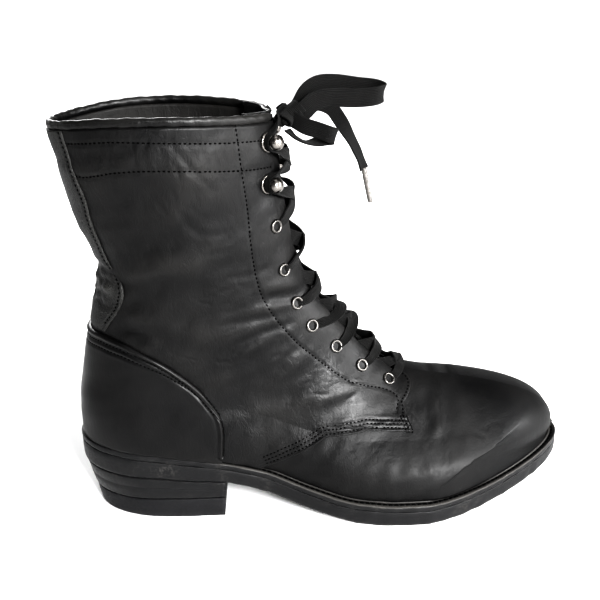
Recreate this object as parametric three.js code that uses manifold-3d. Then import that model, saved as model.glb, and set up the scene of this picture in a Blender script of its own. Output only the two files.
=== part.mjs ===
// A right combat boot standing empty on its sole. Millimetres; +X to the toe, +Y to the
// wearer's left (the inner side of this right boot), +Z up, floor at zero.
// Inside this file x is counted from the back of the sole; the group is moved at the end so
// that the origin is the centre of the heel's resting face.
import * as THREE from "three";
import Module from "manifold-3d";

const wasm = await Module();
wasm.setup();

// ---- Driving sizes -------------------------------------------------------------------
const SOLE_LENGTH = 300; // outsole, heel to toe
const TOE_ROUND = 95; // length over which the outline closes at the toe
const HEEL_ROUND = 46; // length over which it closes at the back
const BREAST_X = 86; // front face of the heel
const LIFT_HEIGHT = 13; // rubber top lift of the heel
const WELT_HEIGHT = 3.8;
const WELT_IN = 11.5; // how far the welt reaches in from the sole's edge
const INSOLE_THICK = 4.2;
const WALL = 2.3; // leather and lining of the upper together
const GAP = 0.35; // air between neighbours
const TONGUE_THICK = 2.6;
const COUNTER_GAP = 1; // air under the counter, as its facets are not those of the upper
const COUNTER_THICK = 1.1; // heel counter standing proud of the upper
const BINDING_R = 2.4; // half the roll of the collar binding
const EYELET_R = 4.1; // outer radius of an eyelet's flange
const EYELET_HOLE_R = 2.3;
const HOOK_RING_R = 5.6; // washer under a speed hook
const HOOK_BALL_R = 4.3;
const LACE_WIDTH = 6; // flat lace, a little bunched
const LACE_THICK = 1.5;
const ORIGIN_X = 47; // centre of the heel's resting face, from the back of the sole

// Sole by length: centre of the outline (the left and right curve), half width before the
// ends close, underside of the outsole and top of the welt.
const SOLE = [
  { x: 0, centre: -1, half: 34, under: 30, top: 47 },
  { x: 25, centre: -1, half: 34, under: 28.5, top: 45 },
  { x: 45, centre: -1.5, half: 34, under: 27, top: 42.5 },
  { x: 65, centre: -2, half: 35, under: 25, top: 39.5 },
  { x: 88, centre: -3, half: 35, under: 23, top: 36 },
  { x: 110, centre: -4.5, half: 35, under: 16.5, top: 30 },
  { x: 135, centre: -7, half: 39, under: 7.5, top: 21 },
  { x: 158, centre: -7.5, half: 46, under: 2, top: 15.5 },
  { x: 174, centre: -6.5, half: 50, under: 0, top: 14 },
  { x: 185, centre: -6, half: 52, under: 0, top: 13.5 },
  { x: 205, centre: -4.5, half: 54, under: 0, top: 13.5 },
  { x: 214, centre: -3.5, half: 54, under: 0, top: 13.5 },
  { x: 230, centre: -2, half: 54, under: 1.5, top: 15 },
  { x: 248, centre: 0, half: 54, under: 4.5, top: 17.5 },
  { x: 279, centre: 3, half: 54, under: 10.5, top: 23.5 },
  { x: 300, centre: 4, half: 54, under: 15.5, top: 28 },
];
// Back line of the upper, heel seat to collar.
const BACK = [
  { x: 3, z: 47.5 },
  { x: 3, z: 60 },
  { x: 4.5, z: 78 },
  { x: 8.5, z: 98 },
  { x: 12.5, z: 116 },
  { x: 16.5, z: 133 },
  { x: 20, z: 147 },
  { x: 17.5, z: 163 },
  { x: 9.5, z: 188 },
  { x: 4, z: 212 },
  { x: 1.5, z: 227 },
];
// Front line of the upper, toe to collar; reach and drop are the distances over which the
// surface rounds off towards this line, along and across; full is how soon it fills out.
const FRONT = [
  { x: 294.5, z: 28, reach: 90, drop: 46, full: 1.35 },
  { x: 296, z: 34, reach: 90, drop: 46, full: 1.4 },
  { x: 294.5, z: 41.5, reach: 86, drop: 46, full: 1.5 },
  { x: 288.5, z: 50.5, reach: 80, drop: 45, full: 1.6 },
  { x: 278, z: 58, reach: 72, drop: 45, full: 1.75 },
  { x: 260, z: 65, reach: 66, drop: 46, full: 1.9 },
  { x: 232, z: 71.5, reach: 64, drop: 50, full: 2 },
  { x: 208, z: 75, reach: 62, drop: 56, full: 2 },
  { x: 192, z: 79.5, reach: 60, drop: 60, full: 2 },
  { x: 180, z: 89, reach: 60, drop: 66, full: 2 },
  { x: 166, z: 104, reach: 60, drop: 70, full: 2 },
  { x: 152, z: 120.5, reach: 60, drop: 80, full: 2 },
  { x: 140.5, z: 137, reach: 60, drop: 90, full: 2 },
  { x: 132, z: 160, reach: 58, drop: 100, full: 2 },
  { x: 127, z: 184, reach: 58, drop: 110, full: 2 },
  { x: 124, z: 208, reach: 60, drop: 120, full: 2 },
  { x: 121, z: 231, reach: 60, drop: 120, full: 2 },
];
// Rim of the collar, back to front, seen from the side.
const COLLAR = [
  { x: 1.5, z: 227 },
  { x: 32, z: 231.5 },
  { x: 62, z: 233 },
  { x: 92, z: 232.5 },
  { x: 121, z: 231 },
];
// Half width of ankle and shaft by height.
const SHAFT = [
  { z: 50, half: 32.5 },
  { z: 80, half: 33.5 },
  { z: 110, half: 34.5 },
  { z: 140, half: 35 },
  { z: 165, half: 37 },
  { z: 190, half: 40 },
  { z: 215, half: 42 },
  { z: 240, half: 41.5 },
];
// Eyelets by height share up the upper (0 at the sole, 1 at the collar) and distance from
// its middle.
const EYELETS = [
  { name: "1", height: 0.39, half: 17.5, hook: false },
  { name: "2", height: 0.46, half: 19, hook: false },
  { name: "3", height: 0.52, half: 20, hook: false },
  { name: "4", height: 0.58, half: 21, hook: false },
  { name: "5", height: 0.64, half: 20.5, hook: false },
  { name: "6", height: 0.72, half: 20.5, hook: false },
  { name: "7", height: 0.81, half: 20.5, hook: false },
  { name: "8", height: 0.89, half: 21.5, hook: true },
  { name: "9", height: 0.965, half: 19.5, hook: true },
];
const THROAT = 0.41; // height share of the throat's foot
const FACING_HALF = 10.5; // half of the throat's opening
// Middle lines of the bow's cords: the outer side's long loop stands out over the toe, the
// short loop droops, and the lace's one end in sight hangs with its aglet.
const KNOT = [
  { x: 130.5, y: -7, z: 230.5 },
  { x: 131.5, y: 0, z: 231.5 },
  { x: 131.5, y: 7, z: 231 },
];
const LONG_LOOP = [
  { x: 137.5, y: 2, z: 236.5 },
  { x: 138.5, y: 3, z: 244 },
  { x: 143, y: 6, z: 249 },
  { x: 150, y: 10, z: 250.5 },
  { x: 165, y: 14, z: 247.5 },
  { x: 177, y: 15, z: 243.5 },
  { x: 177, y: 12, z: 238 },
  { x: 164, y: 7, z: 238 },
  { x: 151, y: 3, z: 239 },
  { x: 143.5, y: 0, z: 236.5 },
];
const SHORT_LOOP = [
  { x: 136, y: -5.5, z: 229.5 },
  { x: 144, y: -8, z: 229.5 },
  { x: 151, y: -12, z: 227.5 },
  { x: 150, y: -14, z: 222 },
  { x: 142, y: -12, z: 219 },
  { x: 136.5, y: -8, z: 221 },
];
const LACE_END = [
  { x: 137.5, y: 8.5, z: 229 },
  { x: 145, y: 12, z: 232 },
  { x: 153.5, y: 14, z: 232.5 },
  { x: 159.5, y: 12, z: 225 },
  { x: 164, y: 8, z: 215.5 },
  { x: 168, y: 5, z: 207.5 },
  { x: 171, y: 3, z: 200.5 },
];
const AGLET = [
  { x: 171.5, y: 2.8, z: 199.5 },
  { x: 173, y: 1.4, z: 190.5 },
  { x: 174, y: 0, z: 182 },
];
const CORD_R = 1.9; // the flat lace, drawn as a round cord
const KNOT_R = 4.6;
const AGLET_R = 1.7;

// Upper edge of the heel counter, from the back seam down to the heel breast, side view.
const COUNTER = [
  { x: 12, z: 113.5 },
  { x: 28, z: 112.5 },
  { x: 46, z: 106.5 },
  { x: 60, z: 96 },
  { x: 72, z: 83 },
  { x: 80, z: 68 },
  { x: 84, z: 54 },
  { x: 86, z: 42 },
];

// ---- Curves --------------------------------------------------------------------------
// A smooth curve through a table's rows: value of one column at a value of another.
function lookup(rows, key, column) {
  const slope = rows.map((row, i) => {
    const a = rows[Math.max(i - 1, 0)];
    const b = rows[Math.min(i + 1, rows.length - 1)];
    return (b[column] - a[column]) / (b[key] - a[key]);
  });
  return (at) => {
    const t = Math.min(Math.max(at, rows[0][key]), rows[rows.length - 1][key]);
    let i = 0;
    while (i < rows.length - 2 && rows[i + 1][key] < t) i += 1;
    const a = rows[i];
    const b = rows[i + 1];
    const span = b[key] - a[key];
    const s = (t - a[key]) / span;
    const s2 = s * s;
    const s3 = s2 * s;
    const flat = a[column] === b[column] ? 0 : 1;
    return (
      (2 * s3 - 3 * s2 + 1) * a[column] +
      (s3 - 2 * s2 + s) * span * slope[i] * flat +
      (3 * s2 - 2 * s3) * b[column] +
      (s3 - s2) * span * slope[i + 1] * flat
    );
  };
}

// A table's rows with their share of the way along the line they draw.
function alongRows(rows) {
  let length = 0;
  const out = rows.map((row, i) => {
    if (i > 0) length += Math.hypot(row.x - rows[i - 1].x, row.z - rows[i - 1].z);
    return { ...row, along: length };
  });
  out.forEach((row) => {
    row.along /= length;
  });
  return out;
}

const centreAt = lookup(SOLE, "x", "centre");
const coreAt = lookup(SOLE, "x", "half");
const underAt = lookup(SOLE, "x", "under");
const topAt = lookup(SOLE, "x", "top");
const shaftHalfAt = lookup(SHAFT, "z", "half");
const counterEdge = lookup(COUNTER, "x", "z");
const backRows = alongRows(BACK);
const backX = lookup(backRows, "along", "x");
const backZ = lookup(backRows, "along", "z");
const frontRows = alongRows(FRONT);
const frontX = lookup(frontRows, "along", "x");
const frontZ = lookup(frontRows, "along", "z");
const frontReach = lookup(frontRows, "along", "reach");
const frontDrop = lookup(frontRows, "along", "drop");
const frontFull = lookup(frontRows, "along", "full");
const collarRows = alongRows(COLLAR);
const collarX = lookup(collarRows, "along", "x");
const collarZ = lookup(collarRows, "along", "z");

const clamp01 = (t) => Math.min(Math.max(t, 0), 1);
const smooth = (a, b, t) => {
  const s = clamp01((t - a) / (b - a));
  return s * s * (3 - 2 * s);
};
const mix = (a, b, t) => a + (b - a) * t;
// How far a section has filled out at share d of its rounding length.
const fill = (d, power) => Math.sqrt(Math.max(1 - (1 - clamp01(d)) ** power, 0));

// ---- The upper's own function --------------------------------------------------------
const FRONT_LINE = Array.from({ length: 301 }, (_, i) => {
  const t = i / 300;
  return {
    x: frontX(t),
    z: frontZ(t),
    reach: frontReach(t),
    drop: frontDrop(t),
    full: frontFull(t),
  };
});
const BACK_LINE = Array.from({ length: 81 }, (_, i) => ({
  x: backX(i / 80),
  z: backZ(i / 80),
}));

// Distance from a point to a stretch of line, with lengths counted in reaches and drops.
function toSegment(x, z, p, q, reach, drop) {
  const ax = (x - p.x) / reach;
  const az = (z - p.z) / drop;
  const bx = (q.x - p.x) / reach;
  const bz = (q.z - p.z) / drop;
  const t = clamp01((ax * bx + az * bz) / (bx * bx + bz * bz));
  return [Math.hypot(ax - t * bx, az - t * bz), t];
}

// Half width of the upper at a point of its side view.
function halfWidth(x, z) {
  let front = 1e9;
  let full = 2;
  for (let i = 0; i < FRONT_LINE.length - 1; i += 1) {
    const p = FRONT_LINE[i];
    const q = FRONT_LINE[i + 1];
    const [d, t] = toSegment(x, z, p, q, p.reach, p.drop);
    if (d < front) {
      front = d;
      full = mix(p.full, q.full, t);
    }
  }
  const reach = mix(44, 60, smooth(60, 200, z));
  let back = 1e9;
  for (let i = 0; i < BACK_LINE.length - 1; i += 1) {
    back = Math.min(back, toSegment(x, z, BACK_LINE[i], BACK_LINE[i + 1], reach, 70)[0]);
  }
  front = Math.max(front - 0.0002, 0);
  back = Math.max(back - 0.0002, 0);
  const rise = z - topAt(x);
  const edge = mix(1.6, 3.8, smooth(70, 130, x)) + 1.6 * smooth(215, 265, x);
  const swell = mix(0.4, 2.2, smooth(70, 150, x)) * Math.sin(Math.PI * clamp01(rise / 34));
  const foot = coreAt(x) - edge + swell;
  const shaft = shaftHalfAt(z);
  return mix(foot, shaft, smooth(14, 88, rise)) * fill(front, full) * fill(back, 2);
}

// Middle of the upper at a point of its side view.
function middle(x, z) {
  const rise = z - topAt(x);
  return mix(centreAt(x), mix(2.6, 0, smooth(105, 175, z)), smooth(2, 52, rise));
}

// Side view of the chart: s from back (0) to front (1), v from the sole (0) to the collar (1).
function sideView(s, v) {
  const x0 = mix(BACK[0].x, FRONT[0].x, s);
  const z0 = topAt(x0) + GAP + mix(0.05, 0, s);
  const low = [x0, z0];
  const high = [collarX(s), collarZ(s)];
  const back = [backX(v), backZ(v)];
  const front = [frontX(v), frontZ(v)];
  const c00 = [BACK[0].x, topAt(BACK[0].x) + GAP + 0.05];
  const c10 = [FRONT[0].x, topAt(FRONT[0].x) + GAP];
  const c01 = [collarX(0), collarZ(0)];
  const c11 = [collarX(1), collarZ(1)];
  return [0, 1].map(
    (k) =>
      (1 - v) * low[k] +
      v * high[k] +
      (1 - s) * back[k] +
      s * front[k] -
      (1 - s) * (1 - v) * c00[k] -
      s * (1 - v) * c10[k] -
      (1 - s) * v * c01[k] -
      s * v * c11[k],
  );
}

// The upper's outer face: w runs 0 to 1 from the back seam over the outer side to the front
// line, and 1 to 2 from there over the inner side back to the seam.
function face(w, v) {
  const turn = ((w % 2) + 2) % 2;
  const u = turn <= 1 ? turn : 2 - turn;
  const side = turn <= 1 ? -1 : 1;
  const s = (1 - Math.cos(Math.PI * u)) / 2;
  const [x, z] = sideView(s, v);
  return new THREE.Vector3(x, middle(x, z) + side * halfWidth(x, z), z);
}

function faceNormal(w, v) {
  const dw = 0.014;
  const dv = 0.003;
  const v0 = Math.max(v - dv, 0);
  const v1 = Math.min(v + dv, 1);
  const along = face(w + dw, v).sub(face(w - dw, v));
  const up = face(w, v1).sub(face(w, v0));
  return along.cross(up).normalize();
}

const lifted = (w, v, out) => face(w, v).addScaledVector(faceNormal(w, v), out);

// Share w on the outer side (below 1) where the face is a given distance from the front line's plane.
function edgeShare(v, half) {
  let a = 0.5;
  let b = 1;
  for (let i = 0; i < 30; i += 1) {
    const m = (a + b) / 2;
    const s = (1 - Math.cos(Math.PI * m)) / 2;
    const [x, z] = sideView(s, v);
    if (halfWidth(x, z) > half) a = m;
    else b = m;
  }
  return (a + b) / 2;
}

// ---- Solids --------------------------------------------------------------------------
const boot = new THREE.Group();
boot.name = "combat_boot";

const COLOURS = {
  leather: { color: 0x17171a, roughness: 0.42, metalness: 0 },
  edge: { color: 0x121213, roughness: 0.5, metalness: 0 },
  rubber: { color: 0x161617, roughness: 0.75, metalness: 0 },
  lining: { color: 0x1b1a19, roughness: 0.85, metalness: 0 },
  metal: { color: 0x8d8f92, roughness: 0.3, metalness: 1 },
  lace: { color: 0x111112, roughness: 0.9, metalness: 0 },
  clear: { color: 0xb9bbbd, roughness: 0.25, metalness: 0 },
};

function add(name, geometry, look) {
  const material = new THREE.MeshStandardMaterial(COLOURS[look]);
  const mesh = new THREE.Mesh(geometry, material);
  mesh.name = name;
  boot.add(mesh);
  return mesh;
}

// Triangles from a list of points and a list of index triples.
function geometryOf(points, faces) {
  const flat = new Float32Array(points.length * 3);
  points.forEach((p, i) => flat.set([p.x, p.y, p.z], 3 * i));
  const g = new THREE.BufferGeometry();
  g.setAttribute("position", new THREE.BufferAttribute(flat, 3));
  g.setIndex(faces.flat());
  g.computeVertexNormals();
  return g;
}

// A sheet with thickness: rows of points on its outer and inner faces, cells kept by a mask,
// and a rim wherever a kept cell ends. wrap joins the last column to the first.
function shell(rows, columns, outerAt, innerAt, keep, wrap) {
  const points = [];
  const index = new Map();
  const at = (layer, i, j) => {
    const jj = wrap ? j % columns : j;
    const key = layer + ":" + i + ":" + jj;
    if (!index.has(key)) {
      index.set(key, points.length);
      points.push(layer === 0 ? outerAt(i, jj) : innerAt(i, jj));
    }
    return index.get(key);
  };
  const faces = [];
  const quad = (a, b, c, d) => {
    faces.push([a, b, c], [a, c, d]);
  };
  const cellColumns = wrap ? columns : columns - 1;
  const kept = (i, j) => {
    if (i < 0 || i >= rows - 1) return false;
    if (!wrap && (j < 0 || j >= cellColumns)) return false;
    return keep(i, (j + cellColumns) % cellColumns);
  };
  for (let i = 0; i < rows - 1; i += 1) {
    for (let j = 0; j < cellColumns; j += 1) {
      if (!kept(i, j)) continue;
      quad(at(0, i, j), at(0, i, j + 1), at(0, i + 1, j + 1), at(0, i + 1, j));
      quad(at(1, i, j), at(1, i + 1, j), at(1, i + 1, j + 1), at(1, i, j + 1));
      if (!kept(i - 1, j)) quad(at(0, i, j + 1), at(0, i, j), at(1, i, j), at(1, i, j + 1));
      if (!kept(i + 1, j)) {
        quad(at(0, i + 1, j), at(0, i + 1, j + 1), at(1, i + 1, j + 1), at(1, i + 1, j));
      }
      if (!kept(i, j - 1)) quad(at(0, i, j), at(0, i + 1, j), at(1, i + 1, j), at(1, i, j));
      if (!kept(i, j + 1)) {
        quad(at(0, i + 1, j + 1), at(0, i, j + 1), at(1, i, j + 1), at(1, i + 1, j + 1));
      }
    }
  }
  return geometryOf(points, faces);
}

// Outline of the sole, inset, as station points on the outer and the inner side.
function outline(stations, inset, from, to) {
  const sides = [[], []];
  for (let i = 0; i <= stations; i += 1) {
    const u = i / stations;
    const x = mix(from, to, (1 - Math.cos(Math.PI * u)) / 2);
    const span = SOLE_LENGTH - 2 * inset;
    const full = inset + (x / SOLE_LENGTH) * span;
    const half =
      Math.max(coreAt(full) - inset, 4) *
      fill((SOLE_LENGTH - x) / TOE_ROUND, 1.35) *
      fill(x / HEEL_ROUND, 2);
    sides[0].push(new THREE.Vector2(full, centreAt(full) - half));
    sides[1].push(new THREE.Vector2(full, centreAt(full) + half));
  }
  return sides;
}

// A closed solid from closed rings stacked one over another, with flat-fanned ends.
function stack(rings, closed) {
  const n = rings[0].length;
  const points = rings.flat();
  const faces = [];
  const levels = closed ? rings.length : rings.length - 1;
  for (let k = 0; k < levels; k += 1) {
    const a = k * n;
    const b = ((k + 1) % rings.length) * n;
    for (let i = 0; i < n; i += 1) {
      const j = (i + 1) % n;
      faces.push([a + i, a + j, b + j], [a + i, b + j, b + i]);
    }
  }
  if (!closed) {
    const top = (rings.length - 1) * n;
    const half = n / 2;
    // Ends are strips between the two sides, which share their stations.
    for (let i = 0; i < half; i += 1) {
      const l0 = i;
      const l1 = i + 1;
      const m0 = (n - i) % n;
      const m1 = n - i - 1;
      if (i === 0) {
        faces.push([l0, m1, l1]);
        faces.push([top + l0, top + l1, top + m1]);
      } else if (l1 === m1) {
        faces.push([l0, m0, l1]);
        faces.push([top + l0, top + l1, top + m0]);
      } else {
        faces.push([l0, m0, m1], [l0, m1, l1]);
        faces.push([top + l0, top + m1, top + m0], [top + l0, top + l1, top + m1]);
      }
    }
  }
  return geometryOf(points, faces);
}

// Ring of the whole sole at one level: both sides in one closed loop, outer side first.
function soleRing(stations, inset, height, from = 0, to = SOLE_LENGTH) {
  const [outer, inner] = outline(stations, inset, from, to);
  const loop = [...outer, ...inner.slice(1, -1).reverse()];
  return loop.map((p) => new THREE.Vector3(p.x, p.y, height(p.x)));
}

const seamAt = (x) => topAt(x) - WELT_HEIGHT; // where the welt lies on the outsole

function addSole() {
  const n = 36;
  const rings = [
    soleRing(n, 1.4, (x) => underAt(x)),
    soleRing(n, 0.3, (x) => underAt(x) + 1.2),
    soleRing(n, 0, (x) => mix(underAt(x), seamAt(x), 0.5)),
    soleRing(n, 0.5, (x) => seamAt(x) - GAP),
  ];
  add("outsole", stack(rings, false), "edge");
  const welt = [
    soleRing(n, WELT_IN, (x) => seamAt(x)),
    soleRing(n, 0.9, (x) => seamAt(x)),
    soleRing(n, 0.1, (x) => seamAt(x) + 0.5 * WELT_HEIGHT),
    soleRing(n, 0.9, (x) => topAt(x)),
    soleRing(n, WELT_IN, (x) => topAt(x)),
  ];
  add("welt", stack(welt, true), "edge");
  const insole = [
    soleRing(n, WELT_IN + 0.6, (x) => seamAt(x)),
    soleRing(n, WELT_IN + 0.6, (x) => seamAt(x) + INSOLE_THICK - 0.5),
    soleRing(n, WELT_IN + 1.4, (x) => seamAt(x) + INSOLE_THICK),
  ];
  add("insole", stack(insole, false), "lining");
}

// Heel: a D-shaped block from the floor to the outsole, drawn in towards the floor at its back.
function heelRing(stations, inset, share, height) {
  const loop = [];
  const back = mix(8.2, 1.2, share);
  const front = BREAST_X - mix(1.2, 0, share) - inset;
  for (let i = 0; i <= stations; i += 1) {
    const near = back + inset + (front - back - inset) * (i / stations) ** 1.8;
    const half = (coreAt(near) - mix(1.4, 0.6, share) - inset) * fill((near - back - inset) / 44, 2);
    loop.push(new THREE.Vector3(near, centreAt(near) - half, height(near)));
  }
  const inner = loop
    .slice(1)
    .map((p) => new THREE.Vector3(p.x, 2 * centreAt(p.x) - p.y, p.z))
    .reverse();
  return [...loop, ...inner];
}

// The heel's loops have a flat front, so their ends are closed as a strip of quads.
function heelSolid(rings) {
  const n = rings[0].length;
  const points = rings.flat();
  const faces = [];
  for (let k = 0; k < rings.length - 1; k += 1) {
    for (let i = 0; i < n; i += 1) {
      const j = (i + 1) % n;
      const a = k * n;
      const b = a + n;
      faces.push([a + i, a + j, b + j], [a + i, b + j, b + i]);
    }
  }
  const top = (rings.length - 1) * n;
  for (let i = 0; i < (n - 1) / 2; i += 1) {
    const m0 = (n - i) % n;
    const m1 = n - i - 1;
    faces.push([i, m1, i + 1]);
    faces.push([top + i, top + i + 1, top + m1]);
    if (i > 0) {
      faces.push([i, m0, m1]);
      faces.push([top + i, top + m1, top + m0]);
    }
  }
  return geometryOf(points, faces);
}

function addHeel() {
  const n = 16;
  const liftTop = () => LIFT_HEIGHT;
  const lift = [
    heelRing(n, 0.8, 0, () => 0),
    heelRing(n, 0, 0.04, () => 0.9),
    heelRing(n, 0, 0.4, () => LIFT_HEIGHT - 0.9),
    heelRing(n, 0.8, 0.42, liftTop),
  ];
  add("heel_top_lift", heelSolid(lift), "rubber");
  const base = [
    heelRing(n, 0.8, 0.43, () => LIFT_HEIGHT + GAP),
    heelRing(n, 0, 0.46, () => LIFT_HEIGHT + GAP + 0.8),
    heelRing(n, 0, 0.95, (x) => underAt(x) - GAP - 0.7),
    heelRing(n, 0.6, 1, (x) => underAt(x) - GAP),
  ];
  add("heel_base", heelSolid(base), "edge");
}

// Columns of the upper's grid at one height: back seam to the facing's edge on both sides,
// then over the vamp below the throat.
const SIDE_COLUMNS = 22;
const VAMP_COLUMNS = 8;
const ROWS = 19;
const throatRow = 9;
const rowHeight = (i) =>
  i <= throatRow
    ? THROAT * (i / throatRow) ** 1.12
    : mix(THROAT, 1, (i - throatRow) / (ROWS - 1 - throatRow));

const edgeByRow = Array.from({ length: ROWS }, (_, i) => {
  const v = rowHeight(i);
  return edgeShare(Math.max(v, THROAT * 0.55), mix(14, FACING_HALF, smooth(0.4, 0.6, v)));
});

function upperShare(i, j) {
  const edge = edgeByRow[i];
  if (j <= SIDE_COLUMNS) return edge * (j / SIDE_COLUMNS);
  if (j < SIDE_COLUMNS + VAMP_COLUMNS) {
    return mix(edge, 2 - edge, (j - SIDE_COLUMNS) / VAMP_COLUMNS);
  }
  return mix(2 - edge, 2, (j - SIDE_COLUMNS - VAMP_COLUMNS) / SIDE_COLUMNS);
}

function addUpper() {
  const columns = 2 * SIDE_COLUMNS + VAMP_COLUMNS;
  const keep = (i, j) =>
    i < throatRow || j < SIDE_COLUMNS || j >= SIDE_COLUMNS + VAMP_COLUMNS;
  const point = (i, j, out) => lifted(upperShare(i, j), rowHeight(i), out);
  const inner = (i, j) => {
    const p = point(i, j, -WALL);
    // The lower edge stands level on the welt.
    if (i === 0) p.z = topAt(p.x) + GAP;
    return p;
  };
  const geometry = shell(ROWS, columns, (i, j) => point(i, j, 0), inner, keep, true);
  add("upper", geometry, "leather");
}

// Tongue: a sheet under the facings, from the throat to just above the collar.
function addTongue() {
  const rows = 15;
  const columns = 11;
  const v0 = THROAT + 0.012;
  const share = (i, j) => {
    const v = mix(v0, 0.995, i / (rows - 1));
    const half = mix(19, 27, smooth(0.5, 0.9, v));
    const edge = edgeShare(v, half);
    return [mix(edge, 2 - edge, j / (columns - 1)), v];
  };
  const at = (i, j, out) => {
    const [w, v] = share(i, j);
    return lifted(w, v, out);
  };
  const outerAt = (i, j) => at(i, j, -WALL - GAP - 0.15);
  const innerAt = (i, j) => at(i, j, -WALL - GAP - 0.15 - TONGUE_THICK);
  add("tongue", shell(rows, columns, outerAt, innerAt, () => true, false), "leather");
}

// Heel counter: lies on the upper from the sole up to its curved edge, round the back.
// b runs from the back seam (0) to the lower front corner (1), a from the sole to the edge.
function counterPoint(b, a) {
  const turn = 0.62;
  const round = 1 - Math.cos((Math.PI / 2) * Math.min(b / turn, 1));
  const ahead = Math.max((b - turn) / (1 - turn), 0);
  const first = COUNTER[0].x;
  const last = COUNTER[COUNTER.length - 1].x;
  const lowX = BACK[0].x + 44 * round + (82 - BACK[0].x - 44) * ahead;
  const highX = first + 38 * round + (last - first - 38) * Math.sin((Math.PI / 2) * ahead);
  return [mix(lowX, highX, a), mix(topAt(lowX) + GAP + 0.4, counterEdge(highX), a)];
}

function addCounter() {
  const steps = 16;
  const rows = 6;
  const columns = 2 * steps + 1;
  const solve = (x, z) => {
    // Find the chart's share and height for a point of the side view.
    let u = 0.3;
    let v = 0.2;
    for (let k = 0; k < 40; k += 1) {
      const s = (1 - Math.cos(Math.PI * u)) / 2;
      const p = sideView(s, v);
      const e = 1e-4;
      const ps = sideView(s + e, v);
      const pv = sideView(s, v + e);
      const a = (ps[0] - p[0]) / e;
      const b = (pv[0] - p[0]) / e;
      const c = (ps[1] - p[1]) / e;
      const d = (pv[1] - p[1]) / e;
      const det = a * d - b * c;
      const dx = x - p[0];
      const dz = z - p[1];
      const sNew = clamp01(s + (d * dx - b * dz) / det);
      v = clamp01(v + (a * dz - c * dx) / det);
      u = Math.acos(1 - 2 * sNew) / Math.PI;
    }
    return [u, v];
  };
  const at = (i, j, out) => {
    const b = Math.abs(j - steps) / steps;
    const [x, z] = counterPoint(b, i / (rows - 1));
    const [u, v] = solve(x, z);
    const w = b === 0 ? 0 : u;
    return lifted(j < steps ? -w : w, v, out);
  };
  const outerAt = (i, j) => at(i, j, COUNTER_GAP + COUNTER_THICK);
  const innerAt = (i, j) => at(i, j, COUNTER_GAP);
  add("heel_counter", shell(rows, columns, outerAt, innerAt, () => true, false), "leather");
}

// A closed or open tube along a list of points.
function tube(points, radius, sides, closed) {
  const curve = new THREE.CatmullRomCurve3(points, closed, "centripetal");
  const shape = new THREE.Shape();
  for (let k = 0; k < sides; k += 1) {
    const a = (2 * Math.PI * k) / sides;
    if (k === 0) shape.moveTo(radius * Math.cos(a), radius * Math.sin(a));
    else shape.lineTo(radius * Math.cos(a), radius * Math.sin(a));
  }
  shape.closePath();
  return new THREE.ExtrudeGeometry(shape, {
    steps: Math.round(points.length * 1.4),
    extrudePath: curve,
    bevelEnabled: false,
  });
}

// Rolled binding that stands on the collar's rim, from one facing round the back to the other.
function addBinding() {
  const edge = edgeByRow[ROWS - 1];
  const count = 18;
  const points = [];
  for (let i = 0; i <= count; i += 1) {
    const w = mix(-edge, edge, i / count);
    const p = lifted(w, 1, -WALL / 2);
    p.z += BINDING_R + GAP;
    points.push(p);
  }
  add("collar_binding", tube(points, BINDING_R, 8, false), "leather");
}

// A turned piece set on the upper with its axis along the surface's normal.
function onUpper(profile, segments, w, v, out) {
  const turned = new THREE.LatheGeometry(
    profile.map(([r, h]) => new THREE.Vector2(r, h)),
    segments,
  );
  const place = lifted(w, v, out);
  const turn = new THREE.Quaternion().setFromUnitVectors(
    new THREE.Vector3(0, 1, 0),
    faceNormal(w, v),
  );
  return turned.applyQuaternion(turn).translate(place.x, place.y, place.z);
}

function eyeletPlace(row, side) {
  const w = edgeShare(row.height, row.half);
  return side === "outer" ? w : 2 - w;
}

function addEyelets() {
  const ring = [
    [EYELET_HOLE_R, 0],
    [EYELET_R, 0],
    [EYELET_R - 0.2, 0.7],
    [mix(EYELET_HOLE_R, EYELET_R, 0.5), 1.1],
    [EYELET_HOLE_R, 0.6],
    [EYELET_HOLE_R, 0],
  ];
  const hook = [
    [0, 0],
    [HOOK_RING_R, 0],
    [HOOK_RING_R - 0.4, 1],
    [2.4, 1.2],
    [1.9, 3.2],
    [HOOK_BALL_R * 0.8, 4.6],
    [HOOK_BALL_R, 6.6],
    [HOOK_BALL_R * 0.78, 9],
    [0, 10.4],
  ];
  for (const row of EYELETS) {
    for (const side of ["outer", "inner"]) {
      const w = eyeletPlace(row, side);
      const name = (row.hook ? "hook_" : "eyelet_") + row.name + "_" + side;
      const made = onUpper(row.hook ? hook : ring, 10, w, row.height, GAP + 0.1);
      add(name, made, "metal");
    }
  }
}

function toSolid(geometry) {
  const plain = new THREE.BufferGeometry();
  plain.setAttribute("position", geometry.getAttribute("position"));
  if (geometry.index) plain.setIndex(geometry.index);
  const loose = plain.index ? plain.toNonIndexed() : plain;
  const position = loose.getAttribute("position").array;
  const map = new Map();
  const verts = [];
  const tris = [];
  for (let i = 0; i < position.length; i += 3) {
    const key = [0, 1, 2].map((k) => Math.round(position[i + k] * 1e4)).join(",");
    if (!map.has(key)) {
      map.set(key, verts.length / 3);
      verts.push(position[i], position[i + 1], position[i + 2]);
    }
    tris.push(map.get(key));
  }
  const keptTris = [];
  for (let i = 0; i < tris.length; i += 3) {
    const [a, b, c] = [tris[i], tris[i + 1], tris[i + 2]];
    if (a !== b && b !== c && a !== c) keptTris.push(a, b, c);
  }
  return new wasm.Manifold(
    new wasm.Mesh({
      numProp: 3,
      vertProperties: new Float32Array(verts),
      triVerts: new Uint32Array(keptTris),
    }),
  );
}

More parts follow.
